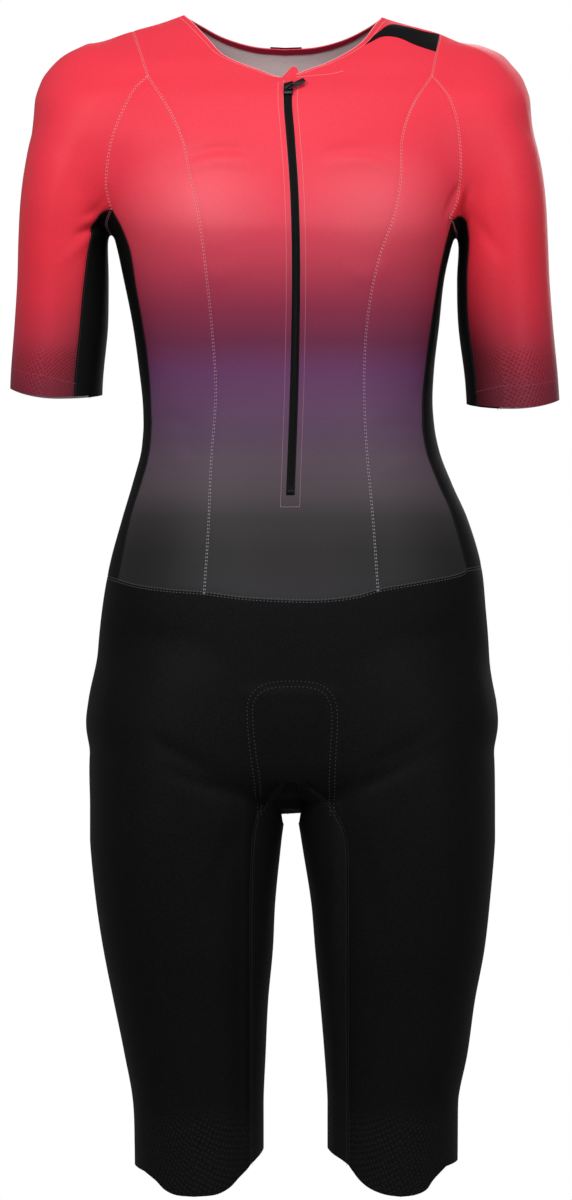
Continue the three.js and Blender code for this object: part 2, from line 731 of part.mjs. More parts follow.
for (const [name, s] of Object.entries(sides)) {
  const span = underarm[name];
  const under = s.armpit.map((p, i) => (
    sleeveColumn(name, p, THREE.MathUtils.lerp(span.front, span.back, i / cells.flank))
  ));
  const around = [...s.armholeFront, ...s.armholeTop.slice(1), ...reversed(s.armholeBack).slice(1)];
  const total = span.front + 360 - span.back;
  const upper = around.map((p, i) => {
    const t = i / (around.length - 1);
    if (i === 0) return under[0];
    if (i === around.length - 1) return under[under.length - 1];
    return sleeveColumn(name, p, span.front - total * t);
  });
  s.sleeveUnder = transposed(under);
  s.sleeve = transposed(upper);
  add(`sleeve_${name}`, 'redKnit', wall([s.sleeve], 0, -cloth));
  add(`sleeve_underarm_${name}`, 'blackKnit', wall([s.sleeveUnder], 0, -cloth, underarmInset));
}

// Shorts: each line runs down from the waist seam to the hem
const riseShare = 0.35;
const legShares = Array.from({ length: cells.leg + 1 }, (_, k) => Math.pow(k / cells.leg, 1.35));
const downShares = [
  ...Array.from({ length: cells.rise }, (_, k) => riseShare * k / cells.rise),
  ...legShares.map((share) => riseShare + (1 - riseShare) * share),
];

function joined(points, first, last) {
  return [first, ...points.slice(1, -1), last];
}

for (const [name, s] of Object.entries(sides)) {
  const Name = name === 'right' ? 'Right' : 'Left';
  const down = (stem, from) => seamAt(stem + Name, from, downShares);
  s.legFront = down('legFront', 'front');
  s.legOuter = down('legOuter', 'front');
  s.sideSeam = down('sideSeam', 'back');
  s.seat = down('seat', 'back');
  s.legFront[0] = s.princess[0];
  s.legOuter[0] = s.flankFront[0];
  s.sideSeam[0] = s.flankBack[0];
  s.seat[0] = s.blade[0];
  s.riseFront = riseLine('front', s.slot[0], lines[`innerFront${Name}`][0]);
  s.innerFront = seamAt(`innerFront${Name}`, 'front', legShares);
  s.innerFront[0] = s.riseFront[cells.rise];
  s.riseBack = riseLine('back', backCentre[0], lines[`innerBack${Name}`][0]);
  s.innerBack = seamAt(`innerBack${Name}`, 'back', legShares);
  s.innerBack[0] = s.riseBack[cells.rise];
}

function seamAt(name, from, shares) {
  const points = lines[name].map((row) => new THREE.Vector3(row.x, 0, row.z));
  const curve = new THREE.CatmullRomCurve3(points, false, 'centripetal');
  return shares.map((share) => curve.getPointAt(share)).map((p) => seenFrom(from, p.x, p.z));
}

function riseLine(from, top, foot) {
  const out = [top];
  for (let i = 1; i <= cells.rise; i += 1) {
    const t = i / cells.rise;
    const x = THREE.MathUtils.lerp(top.x, foot.x, t);
    out.push(seenFrom(from, x, THREE.MathUtils.lerp(top.z, foot.z, t)));
  }
  return out;
}

const hemDrop = { flank: 3, seat: -6, seatInner: -5, inner: 8 };
for (const [name, s] of Object.entries(sides)) {
  const Name = name === 'right' ? 'Right' : 'Left';
  const front = [...s.riseFront, ...s.innerFront.slice(1)];
  const back = [...s.riseBack, ...s.innerBack.slice(1)];
  const foot = (line) => line[line.length - 1];
  s.hem = {
    centre: joined(seam(`hemFront${Name}`, 'front', cells.centre), foot(front), foot(s.legFront)),
    side: joined(seam(`hemSide${Name}`, 'front', cells.side), foot(s.legFront), foot(s.legOuter)),
    flank: levelRun(foot(s.legOuter), foot(s.sideSeam), cells.flank, hemDrop.flank),
    seat: levelRun(foot(s.sideSeam), foot(s.seat), cells.centre, hemDrop.seat),
    seatInner: levelRun(foot(s.seat), foot(back), cells.nape, hemDrop.seatInner),
    inner: levelRun(foot(front), foot(back), cells.gusset, hemDrop.inner),
  };
  s.shortsFront = [
    patch(front, s.legFront, s.waist.centre, s.hem.centre),
    patch(s.legFront, s.legOuter, s.waist.side, s.hem.side),
    patch(s.legOuter, s.sideSeam, s.waist.flank, s.hem.flank),
  ];
  s.shortsBack = [
    patch(s.sideSeam, s.seat, s.waist.blade, s.hem.seat),
    patch(s.seat, back, s.waist.nape, s.hem.seatInner),
  ];
  const aside = name === 'right' ? -gussetBulge : gussetBulge;
  s.gussetEdge = levelRun(s.innerFront[0], s.innerBack[0], cells.gusset, -16, aside);
  s.innerLeg = patch(s.innerFront, s.innerBack, s.gussetEdge, s.hem.inner);
  add(`shorts_back_${name}`, 'blackKnit', wall(s.shortsBack, 0, -cloth));
  add(`inner_leg_${name}`, 'blackKnit', wall([s.innerLeg], 0, -cloth));
}
const riseStrip = sides.right.riseFront.map((p, j) => [p, sides.left.riseFront[j]]);
const shortsGrids = [...sides.right.shortsFront, ...sides.left.shortsFront, riseStrip];
add('shorts_front', 'blackKnit', wall(shortsGrids, 0, -cloth));
const gussetGrid = sides.right.gussetEdge.map((p, j) => [p, sides.left.gussetEdge[j]]);
add('crotch_gusset', 'blackKnit', wall([gussetGrid], 0, -cloth));

// Seat pad inside the shorts, from the front under the crotch to the back
const padRow = (half, at) => Array.from({ length: pad.columns + 1 }, (_, i) => (
  at(pad.middle + half * (2 * i / pad.columns - 1))
));
const padRows = [
  ...pad.front.map((row) => padRow(row.half, (x) => seenFrom('front', x, row.z))),
  ...pad.under.map((row) => padRow(row.half, (x) => new THREE.Vector3(x, row.y, row.z))),
  ...pad.back.map((row) => padRow(row.half, (x) => seenFrom('back', x, row.z))),
];
const padTop = -(cloth + pad.gap);
add('seat_pad', 'foam', wall([padRows], padTop, padTop - pad.thick));

// Zip tape in its slot
const tapeGrid = slot.right.slice(footRow).map((p, j) => [p, slot.left[footRow + j]]);
add('zip_tape', 'blackKnit', wall([tapeGrid], 0, -cloth));

// Binding round the inside of the neck, made from the panels' own edge points
function bandRow(edge, next) {
  return [edge, edge.clone().lerp(next, bindingWidth / edge.distanceTo(next))];
}

function neckBand(s) {
  const rows = [];
  for (let j = cells.torso; j <= cells.torso + cells.yoke; j += 1) {
    rows.push(bandRow(s.front[j][0], s.front[j][1]));
  }
  rows[0] = rows[0].map((p, i) => p.clone().lerp(rows[1][i], bindingStart));
  const top = s.backInner.length - 1;
  for (let i = 1; i < cells.nape; i += 1) {
    rows.push(bandRow(s.backInner[top][i], s.backInner[top - 1][i]));
  }
  return rows;
}
const napeTop = backCentre.length - 1;
const bindingGrid = [
  ...neckBand(sides.right),
  bandRow(backCentre[napeTop], backCentre[napeTop - 1]),
  ...reversed(neckBand(sides.left)),
];
const bindingTop = -(cloth + trimGap);
add('neck_binding', 'binding', wall([bindingGrid], bindingTop, bindingTop - bindingWall));

// Tab at the back of the neck, from the points of the back panel
function tabRow(share) {
  const top = backCentre[napeTop].clone().lerp(backCentre[napeTop - 1], share);
  const side = (s) => {
    const { backInner } = s;
    const last = backInner.length - 1;
    const inner = backInner[last][cells.nape - 1];
    return inner.clone().lerp(backInner[last - 1][cells.nape - 1], share);
  };
  const reach = (s) => top.clone().lerp(side(s), tabHalf / top.distanceTo(side(s)));
  return [reach(sides.right), top, reach(sides.left)];
}
const tabGrid = [tabRow(tabShares.low), tabRow(tabShares.high)];
add('back_neck_tab', 'blackKnit', wall([tabGrid], layGap + trimWall, layGap));

// Strip on the shoulder: per column of the front, how far down each of its rows lies
function shoulderPoint(column, down) {
  const rows = sides.left.front;
  const top = rows.length - 1;
  const i = Math.min(Math.floor(column), cells.centre - 1);
  const at = (j) => rows[j][i].clone().lerp(rows[j][i + 1], column - i);
  const k = Math.min(Math.floor(down), cells.yoke - 1);
  return at(top - k).lerp(at(top - k - 1), down - k);
}
const stripGrid = strip.map((row) => (
  [shoulderPoint(row.column, row.low), shoulderPoint(row.column, 1), shoulderPoint(row.column, row.high)]
));
add('shoulder_strip', 'blackKnit', wall([stripGrid], trimGap + trimWall, trimGap));

// Red guard behind the head of the zip, whose tip stands above the neckline
const guardRows = [2, 1, 0].map((down) => {
  const j = cells.torso - down;
  const { front } = sides.left;
  return [slot.right[j], slot.left[j], front[j][0].clone().lerp(front[j][1], guardShare)];
});
const guardTip = [[-3.2, -46.5], [5.5, -36.5], [9.5, -37.5]].map(([x, z]) => seenFrom('front', x, z));
const guardTop = -(cloth + layGap);
add('zip_guard', 'redKnit', wall([[...guardRows, guardTip]], guardTop, guardTop - trimWall));

// Chain of the zip, a raised strip along the middle of the tape
function tapeLine(row, offset) {
  const [right, left] = tapeGrid[row];
  const width = right.distanceTo(left);
  return right.clone().lerp(left, 0.5 + offset / width);
}
const lastTape = tapeGrid.length - 1;
const headRow = lastTape - 1;
const chainGrid = [];
for (let j = 0; j <= headRow + 1; j += 1) {
  const chainRow = (k) => [tapeLine(k, -coilWidth / 2), tapeLine(k, coilWidth / 2)];
  const next = chainRow(Math.min(j + 1, lastTape));
  const row = chainRow(Math.min(j, headRow));
  const shift = j === 0 ? footTrim : j > headRow ? headTrim : 0;
  chainGrid.push(row.map((p, i) => p.clone().lerp(next[i], shift)));
}
add('zip_chain', 'coil', wall([chainGrid], layGap + coilHeight, layGap));

// Frame at a point of the zip: X across, Y up along the zip, Z out of the cloth
function zipFrame(row, share) {
  const place = tapeLine(row, 0).lerp(tapeLine(row + 1, 0), share);
  const up = tapeLine(row + 1, 0).sub(tapeLine(row, 0)).normalize();
  const across = up.clone().cross(normalAt(place)).normalize();
  const out = across.clone().cross(up);
  const frame = new THREE.Group();
  frame.position.copy(place);
  frame.setRotationFromMatrix(new THREE.Matrix4().makeBasis(across, up, out));
  group.add(frame);
  return frame;
}

// Flat plate with rounded ends, lying in X and Y with its thickness along Z
function plate(length, width, thick, low, hole = null) {
  const shape = new THREE.Shape();
  const r = Math.min(width, length) * 0.2;
  const x = width / 2;
  const y = length / 2;
  shape.moveTo(-x + r, -y);
  shape.lineTo(x - r, -y);
  shape.quadraticCurveTo(x, -y, x, -y + r);
  shape.lineTo(x, y - r);
  shape.quadraticCurveTo(x, y, x - r, y);
  shape.lineTo(-x + r, y);
  shape.quadraticCurveTo(-x, y, -x, y - r);
  shape.lineTo(-x, -y + r);
  shape.quadraticCurveTo(-x, -y, -x + r, -y);
  if (hole) {
    const path = new THREE.Path();
    path.moveTo(-hole.x, hole.y - hole.high);
    path.lineTo(-hole.x, hole.y + hole.high);
    path.lineTo(hole.x, hole.y + hole.high);
    path.lineTo(hole.x, hole.y - hole.high);
    path.closePath();
    shape.holes.push(path);
  }
  const settings = { depth: thick, bevelEnabled: false, curveSegments: 3 };
  const geometry = new THREE.ExtrudeGeometry(shape, settings);
  return geometry.translate(0, 0, low);
}

const stopFrame = zipFrame(0, 0.1);
add('zip_stop', 'slider', plate(stop.length, stop.width, stop.thick, layGap), stopFrame);

const sliderFrame = zipFrame(headRow, sliderShare);
const sliderLow = layGap + coilHeight + layGap;
const sliderTop = sliderLow + slider.thick;
add('zip_slider', 'slider', plate(slider.length, slider.width, slider.thick, sliderLow), sliderFrame);

// Arch over the slider, turned with the tab that hangs on it
const turned = new THREE.Group();
turned.rotation.z = -THREE.MathUtils.degToRad(pull.twist);
sliderFrame.add(turned);
const archFoot = sliderTop + layGap;
const legIn = slider.archOut - slider.archWall;
const roof = slider.archHigh - slider.archWall;
const archShape = new THREE.Shape([
  new THREE.Vector2(-slider.archOut, 0), new THREE.Vector2(-legIn, 0),
  new THREE.Vector2(-legIn, roof), new THREE.Vector2(legIn, roof),
  new THREE.Vector2(legIn, 0), new THREE.Vector2(slider.archOut, 0),
  new THREE.Vector2(slider.archOut, slider.archHigh), new THREE.Vector2(-slider.archOut, slider.archHigh),
]);
const arch = new THREE.ExtrudeGeometry(archShape, { depth: slider.archWide, bevelEnabled: false });
arch.translate(0, 0, -slider.archWide / 2);
const archMesh = add('zip_slider_arch', 'slider', arch, turned);
archMesh.position.z = archFoot;
archMesh.rotation.set(Math.PI / 2, Math.PI / 2, 0);

// Pull tab: its cross bar passes under the arch and it swings about that bar
const barHeight = archFoot + roof / 2;
const tabMiddle = pull.length / 2 - pull.barHalf;
const eye = {
  x: slider.archWide / 2 + pull.eyeClear,
  y: (pull.barHalf + pull.eyeEnd) / 2 - tabMiddle,
  high: (pull.eyeEnd - pull.barHalf) / 2,
};
const tab = plate(pull.length, pull.width, pull.thick, -pull.thick / 2, eye);
tab.translate(0, tabMiddle, 0);
const tabMesh = add('zip_pull', 'coil', tab, turned);
tabMesh.position.z = barHeight;

export default group;
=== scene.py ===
# Looks of the triathlon suit. The figure, seam lines and panels repeat part.mjs, in millimetres,
# on a finer grid; meshes are made in metres.
import math

import bmesh
import bpy
import numpy as np
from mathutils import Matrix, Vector


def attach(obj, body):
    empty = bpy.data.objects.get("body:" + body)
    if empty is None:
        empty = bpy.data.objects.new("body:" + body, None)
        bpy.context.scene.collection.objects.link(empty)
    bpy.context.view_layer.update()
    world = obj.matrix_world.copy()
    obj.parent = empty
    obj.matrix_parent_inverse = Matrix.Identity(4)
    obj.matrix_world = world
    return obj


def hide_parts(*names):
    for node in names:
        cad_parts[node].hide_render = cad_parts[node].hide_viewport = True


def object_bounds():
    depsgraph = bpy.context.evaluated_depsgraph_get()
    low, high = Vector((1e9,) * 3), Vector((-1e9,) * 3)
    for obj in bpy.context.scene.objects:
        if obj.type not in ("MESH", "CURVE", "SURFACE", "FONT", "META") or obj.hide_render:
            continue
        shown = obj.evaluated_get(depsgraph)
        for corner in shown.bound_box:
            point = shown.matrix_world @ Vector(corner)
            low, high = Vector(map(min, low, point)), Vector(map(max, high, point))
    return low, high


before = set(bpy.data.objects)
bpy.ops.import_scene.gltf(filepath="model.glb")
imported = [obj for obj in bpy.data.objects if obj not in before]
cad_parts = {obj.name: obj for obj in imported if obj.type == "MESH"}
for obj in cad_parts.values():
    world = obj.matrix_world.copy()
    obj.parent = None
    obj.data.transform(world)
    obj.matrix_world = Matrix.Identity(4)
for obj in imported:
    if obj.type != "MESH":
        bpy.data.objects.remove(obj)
cadBox = [list(corner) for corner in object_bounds()]
scene = bpy.context.scene
mm = 0.001
fine = 7
tall = 12
clothWall = 0.8
seamInset = 0.1
slotHalf = 3.7
padMiddle = 4.7

cells = {
    "centre": 4, "side": 5, "flank": 4, "nape": 3, "torso": 15, "yoke": 5, "armholeBack": 8,
    "sleeve": 12, "rise": 8, "leg": 13, "gusset": 5,
}
tallCells = ("torso", "yoke", "armholeBack")
cells = {name: count * (tall if name in tallCells else fine) for name, count in cells.items()}


def stageDone(name):
    print("scene:", name, flush=True)


# Tables of sections and lines, and smooth values between their rows
def prepared(rows):
    table = np.array(rows, float)
    keys = table[:, 0]
    span = np.diff(keys)[:, None]
    chord = np.diff(table, axis=0) / span
    middle = (table[2:] - table[:-2]) / (keys[2:] - keys[:-2])[:, None]
    slopes = np.vstack([chord[:1], middle, chord[-1:]])
    most = np.maximum(3 * np.abs(chord), 1e-9)
    start = np.sign(slopes[:-1]) * np.minimum(np.abs(slopes[:-1]), most) * span
    end = np.sign(slopes[1:]) * np.minimum(np.abs(slopes[1:]), most) * span
    return {"keys": keys, "rows": table, "start": start, "end": end}


def sample(table, at):
    keys = table["keys"]
    i = np.clip(np.searchsorted(keys, at, side="left") - 1, 0, len(keys) - 2)
    s = np.clip((at - keys[i]) / (keys[i + 1] - keys[i]), 0, 1)[:, None]
    s2 = s * s
    s3 = s2 * s
    rows = table["rows"]
    out = (2 * s3 - 3 * s2 + 1) * rows[i] + (s3 - 2 * s2 + s) * table["start"][i]
    return out + (3 * s2 - 2 * s3) * rows[i + 1] + (s3 - s2) * table["end"][i]


# Level sections: z, left, right, front, back, roundness
trunk = prepared([
    (-684, -6, 14, -30, 34, 2), (-676, -42, 52, -63, 68, 2), (-660, -98, 108, -84, 93, 2.1),
    (-625, -156, 166, -96, 112, 2.2), (-590, -168, 179, -101, 121, 2.3),
    (-550, -166, 179, -102, 122, 2.35), (-510, -162, 176, -101, 113, 2.4),
    (-470, -155, 171.5, -98, 101, 2.4), (-430, -144, 159.5, -95, 88, 2.35),
    (-400, -135, 146, -93, 80, 2.3), (-370, -127, 134.5, -92, 75, 2.25),
    (-335, -125.5, 129, -92, 74, 2.25), (-300, -129, 130, -95, 78, 2.3),
    (-260, -134.6, 134.6, -103, 86, 2.35), (-220, -142.6, 139, -112, 94, 2.4),
    (-185, -150.5, 147, -116, 98, 2.45), (-172, -156, 151, -115, 99, 2.45),
    (-150, -166, 160, -110, 99, 2.4), (-120, -182, 177, -101, 97, 2.3),
    (-90, -200, 194, -90, 91, 2.25), (-62, -213, 207, -76, 82, 2.15),
    (-44, -212, 206, -63, 73, 2.05), (-30, -203, 197, -53, 65, 2.05),
    (-20, -190, 186, -43, 58, 2.05), (-9, -160, 155, -33, 47, 2.05),
    (0, -137, 131, -24, 36, 2.05), (8, -107, 96, -14, 22, 2.05), (15, -88, 79, -6, 10, 2),
])
arms = {
    "right": prepared([
        (-345, -243, -162, -43, 46, 2.1), (-308, -242.5, -161, -43, 46, 2.1),
        (-260, -239, -156.5, -45, 48, 2.1), (-220, -236.5, -156, -48, 50, 2.1),
        (-185, -235.5, -156.5, -51, 52, 2.15), (-150, -233.5, -150, -56, 53, 2.2),
        (-120, -229.5, -142, -58, 53, 2.2), (-90, -223, -138, -55, 50, 2.1),
        (-62, -212, -140, -45, 43, 2), (-44, -199, -148, -26, 32, 2),
        (-32, -186, -162, -10, 18, 2),
    ]),
    "left": prepared([
        (-350, 160, 242, -43, 46, 2.1), (-308, 157.5, 239.5, -43, 46, 2.1),
        (-260, 151.6, 235, -45, 48, 2.1), (-220, 150.5, 232, -48, 50, 2.1),
        (-185, 151.5, 230.5, -51, 52, 2.15), (-150, 144, 228.5, -56, 53, 2.2),
        (-120, 136, 224.5, -58, 53, 2.2), (-90, 132, 217, -55, 50, 2.1),
        (-62, 134, 206, -45, 43, 2), (-44, 142, 193, -26, 32, 2), (-32, 156, 180, -10, 18, 2),
    ]),
}
legs = {
    "right": prepared([
        (-1035, -133, -21, -52, 60, 2.1), (-986, -133, -21, -54, 62, 2.1),
        (-942, -134.6, -21, -58, 64, 2.1), (-900, -142.5, -19, -64, 68, 2.1),
        (-854, -152, -16.7, -71, 73, 2.1), (-810, -160.5, -12.8, -79, 79, 2.15),
        (-766, -167.2, -10.8, -86, 86, 2.15), (-713, -172.5, -5.2, -93, 96, 2.2),
        (-682, -172.5, -1, -96, 103, 2.2), (-642, -173, 0, -97, 108, 2.2),
        (-600, -168, -12, -92, 106, 2.2), (-560, -145, -25, -80, 92, 2.1),
        (-520, -110, -40, -50, 60, 2),
    ]),
    "left": prepared([
        (-1035, 37.8, 151, -52, 60, 2.1), (-986, 37.8, 151, -54, 62, 2.1),
        (-942, 37.8, 151.4, -58, 64, 2.1), (-900, 35, 160, -64, 68, 2.1),
        (-854, 31, 166.5, -71, 73, 2.1), (-810, 27, 174.5, -79, 79, 2.15),
        (-766, 23.4, 179.5, -86, 86, 2.15), (-713, 14.8, 184, -93, 96, 2.2),
        (-682, 10, 184, -96, 103, 2.2), (-642, 9, 183.5, -97, 108, 2.2),
        (-600, 21, 179, -92, 106, 2.2), (-560, 34, 157, -80, 92, 2.1),
        (-520, 50, 122, -50, 60, 2),
    ]),
}
# z, how far an arm and a leg run into the body
blends = prepared([
    (-740, 8, 10), (-700, 8, 13), (-650, 8, 32), (-200, 8, 30), (-180, 9, 30), (-150, 26, 30),
    (-60, 34, 30),
])
# Waist seam: x, height in front, height behind
waist = prepared([
    (-160, -478.7, -478.7), (-146.9, -484.7, -480), (-126.3, -490.1, -484),
    (-100.4, -493.4, -489), (-71.7, -495.6, -492.5), (-37, -500, -495), (12, -502.5, -496),
    (34.5, -502, -495), (61, -498.7, -493), (79.5, -493.4, -491), (116, -486.9, -486),
    (148, -480.7, -475.5), (161.6, -475.4, -472), (174, -470.8, -470.8),
])
# Seam lines as seen from the front or the back: x, z, from the lower end up
lines = {
    "zip": [
        (3.4, -503), (2.6, -467), (3.9, -409), (5.6, -363), (7.3, -311), (8.6, -232),
        (8.4, -192), (6.9, -145), (3.5, -96), (1.5, -70), (2.2, -47),
    ],
    "princessRight": [
        (-70.8, -495.6), (-67.4, -444), (-64.9, -384), (-60.8, -320), (-64, -268),
        (-68.2, -225), (-74.9, -173), (-83.6, -131), (-89, -106), (-100.5, -78),
        (-120.3, -45.5),
    ],
    "princessLeft": [
        (79.5, -493.4), (75.2, -431), (69.2, -361), (67.7, -304), (70.8, -256), (79.7, -209),
        (92.3, -173), (98.6, -144), (101, -100), (110.2, -72), (127.3, -44.6),
    ],
    "flankFrontRight": [
        (-146.9, -484.7), (-135.3, -427), (-125.8, -397), (-119.8, -376), (-118.1, -335),
        (-121.5, -286), (-130.9, -228), (-135.9, -197), (-143, -178), (-152, -161),
    ],
    "flankFrontLeft": [
        (157.9, -475.4), (143.2, -423), (132.8, -400), (122.4, -372), (119, -335),
        (122.4, -293), (131.4, -231), (137, -200), (140.4, -185), (142.4, -169),
    ],
    "flankBackRight": [
        (-139, -481), (-113, -397), (-107, -335), (-112, -286), (-122, -228), (-131, -190),
        (-141, -160),
    ],
    "flankBackLeft": [
        (149, -475), (121, -397), (109, -335), (113, -286), (122, -231), (128, -192),
        (134, -162),
    ],
    "backRight": [(-62, -493), (-52, -335), (-68, -170), (-84, -60), (-89.8, 13)],
    "backLeft": [(70, -492), (58, -335), (70, -170), (80, -60), (84.5, 11)],
    "backCentre": [(4, -496), (4, -335), (2, -170), (0, -60), (-1, -12)],
    "armholeFrontRight": [
        (-152, -161), (-156.4, -145), (-156, -130), (-152, -104), (-142.9, -79), (-131, -56),
        (-120.3, -45.5),
    ],
    "armholeFrontLeft": [
        (142.4, -169), (149.6, -150), (152, -127), (150.8, -101), (147.3, -79), (140, -61),
        (127.3, -44.6),
    ],
    "armholeTopRight": [(-120.3, -45.5), (-127, -24), (-134.5, -1.4)],
    "armholeTopLeft": [(127.3, -44.6), (132, -22), (136, -4)],
    "armholeBackRight": [
        (-141, -160), (-145, -130), (-141, -95), (-136, -60), (-134, -25), (-134.5, -1.4),
    ],
    "armholeBackLeft": [(134, -162), (141, -130), (139, -95), (136, -60), (135, -25), (136, -4)],
    "shoulderRight": [(-134.5, -1.4), (-112, 5), (-89.8, 13)],
    "shoulderLeft": [(136, -4), (112, 2.5), (84.5, 11)],
    "neckRight": [
        (-2.1, -47.9), (-10.4, -46.1), (-23.5, -40.6), (-40.1, -34), (-55.8, -25.3),
        (-67.3, -12), (-84.3, 7.8), (-89.8, 13),
    ],
    "neckLeft": [
        (6.5, -45.5), (11.7, -43.5), (20.9, -39.7), (34.5, -34.5), (54.1, -23.5),
        (67.4, -12.6), (79, 4), (84.5, 11),
    ],
    "napeRight": [(-1, -12), (-28, -10), (-55, -3), (-75, 6), (-89.8, 13)],
    "napeLeft": [(-1, -12), (26, -10.5), (50, -5), (71.6, 4), (84.5, 11)],
    "legFrontRight": [
        (-70.8, -495.6), (-77, -560), (-84, -640), (-86, -700), (-86, -800), (-84, -900),
        (-80, -1021.5),
    ],
    "legFrontLeft": [
        (79.5, -493.4), (90, -560), (98, -640), (101, -700), (101, -800), (101, -900),
        (100, -1021.5),
    ],
    "legOuterRight": [
        (-146.9, -484.7), (-155, -560), (-159, -640), (-157, -713), (-150, -800), (-133, -900),
        (-124, -960), (-124, -1001.5),
    ],
    "legOuterLeft": [
        (157.9, -475.4), (166, -560), (170, -640), (168, -713), (162, -800), (150, -900),
        (142, -960), (140, -997),
    ],
    "sideSeamRight": [
        (-139, -481), (-147, -560), (-151, -640), (-149, -713), (-143, -800), (-126, -900),
        (-117, -960), (-117, -1000),
    ],
    "sideSeamLeft": [
        (149, -475), (157, -560), (161, -640), (159, -713), (154, -800), (143, -900),
        (135, -960), (135, -997),
    ],
    "innerFrontRight": [
        (-0.9, -664), (-12.5, -675), (-23.5, -685), (-27.8, -701), (-30, -722), (-31.3, -762),
        (-31.4, -850), (-31.4, -995),
    ],
    "innerFrontLeft": [
        (7.7, -664), (30.5, -671.5), (39.1, -680), (46, -693), (51.2, -708), (53, -762),
        (53.1, -850), (54.1, -995),
    ],
    "hemFrontRight": [
        (-31.4, -995), (-36.5, -1001), (-42, -1007), (-49, -1014), (-60, -1019.5),
        (-80, -1021.5),
    ],
    "hemFrontLeft": [
        (54.1, -995), (58, -1000), (64, -1007.5), (73, -1014.5), (86, -1019.5), (100, -1021.5),
    ],
    "hemSideRight": [(-80, -1021.5), (-97, -1020), (-106, -1016), (-114, -1008.5), (-124, -1001.5)],
    "hemSideLeft": [(100, -1021.5), (113, -1020), (122.5, -1016), (129, -1007.5), (140, -997)],
    "innerBackRight": [
        (-3.4, -655), (-20, -672), (-34, -690), (-42, -715), (-44, -762), (-42, -850),
        (-38, -987),
    ],
    "innerBackLeft": [
        (5.2, -655), (24, -672), (40, -690), (50, -715), (55, -762), (56, -850), (55, -987),
    ],
    "seatRight": [
        (-62, -493), (-80, -560), (-90, -640), (-94, -713), (-94, -800), (-90, -900),
        (-84, -1014),
    ],
    "seatLeft": [
        (70, -492), (90, -560), (102, -640), (106, -713), (106, -800), (104, -900),
        (98, -1014),
    ],
}
sleeveHems = {
    "right": {"front": -324.5, "back": -323, "outer": -315.6, "inner": -321},
    "left": {"front": -334, "back": -332, "outer": -325.6, "inner": -329},
}
underarm = {"right": {"front": -67, "back": 50}, "left": {"front": -40, "back": 76}}


# The figure: distance from its surface, below zero inside
def tubeDistance(table, p):
    s = sample(table, p[:, 2])
    halfX = (s[:, 2] - s[:, 1]) / 2
    halfY = (s[:, 4] - s[:, 3]) / 2
    dx = np.abs(p[:, 0] - (s[:, 1] + s[:, 2]) / 2)
    dy = np.abs(p[:, 1] - (s[:, 3] + s[:, 4]) / 2)
    reach = np.maximum(np.hypot(dx, dy), 1e-6)
    ratio = ((dx / halfX) ** s[:, 5] + (dy / halfY) ** s[:, 5]) ** (1 / s[:, 5])
    past = np.maximum(0, table["keys"][0] - p[:, 2]) + np.maximum(0, p[:, 2] - table["keys"][-1])
    return reach * (1 - 1 / np.maximum(ratio, 1e-4)) + past


def blendNear(a, b, width):
    h = np.maximum(width - np.abs(a - b), 0) / width
    return np.minimum(a, b) - h * h * width / 4


def figure(p):
    mix = sample(blends, p[:, 2])
    d = tubeDistance(trunk, p)
    upper = p[:, 2] > -420
    for name, own in (("right", p[:, 0] < 4), ("left", p[:, 0] >= 4)):
        m = upper & own
        if m.any():
            d[m] = blendNear(d[m], tubeDistance(arms[name], p[m]), mix[m, 1])
    m = ~upper
    if m.any():
        right = tubeDistance(legs["right"], p[m])
        left = tubeDistance(legs["left"], p[m])
        d[m] = blendNear(d[m], blendNear(right, left, mix[m, 2]), mix[m, 2])
    return d


def slopeAt(p):
    step = 0.05
    out = np.empty_like(p)
    for axis in range(3):
        shift = np.zeros(3)
        shift[axis] = step
        out[:, axis] = (figure(p + shift) - figure(p - shift)) / (2 * step)
    return out


def unit(v):
    return v / np.maximum(np.linalg.norm(v, axis=-1, keepdims=True), 1e-9)


def normalAt(p):
    return unit(slopeAt(p))


def toSurface(start, turns=14):
    p = np.array(start, float).reshape(-1, 3)
    for _ in range(turns):
        slope = slopeAt(p)
        size = np.maximum((slope * slope).sum(1), 0.05)
        move = slope * (-figure(p) / size)[:, None]
        length = np.maximum(np.linalg.norm(move, axis=1, keepdims=True), 1e-9)
        p += move * np.minimum(1, 12 / length)
    return p.reshape(np.shape(start))


# Points of the surface that are seen from the front or the back at x and z
def seenFrom(side, x, z, far=190, step=3):
    out = -1 if side == "front" else 1
    p = np.stack([x, np.full(len(x), float(far * out)), z], axis=1)
    best = p.copy()
    least = np.full(len(x), np.inf)
    hit = np.zeros(len(x), bool)
    near = np.full(len(x), float(far))
    for y in range(far, -30, -step):
        p[:, 1] = y * out
        d = figure(p)
        better = ~hit & (d < least)
        least[better] = d[better]
        best[better] = p[better]
        first = ~hit & (d <= 0)
        near[first] = y
        hit |= first
    low = near.copy()
    high = near + step
    for _ in range(24):
        middle = (low + high) / 2
        p[:, 1] = middle * out
        inside = figure(p) <= 0
        low = np.where(inside, middle, low)
        high = np.where(inside, high, middle)
    if not hit.all():
        p[~hit] = toSurface(best[~hit])
    return p


def rayOut(origin, direction, step=4, most=400):
    far = np.zeros(len(origin))
    going = np.ones(len(origin), bool)
    while going.any() and far.max() < most:
        far[going] += step
        going[going] = figure((origin + direction * far[:, None])[going]) < 0
    near = far - step
    for _ in range(22):
        middle = (near + far) / 2
        inside = figure(origin + direction * middle[:, None]) < 0
        near = np.where(inside, middle, near)
        far = np.where(inside, far, middle)
    return origin + direction * ((near + far) / 2)[:, None]


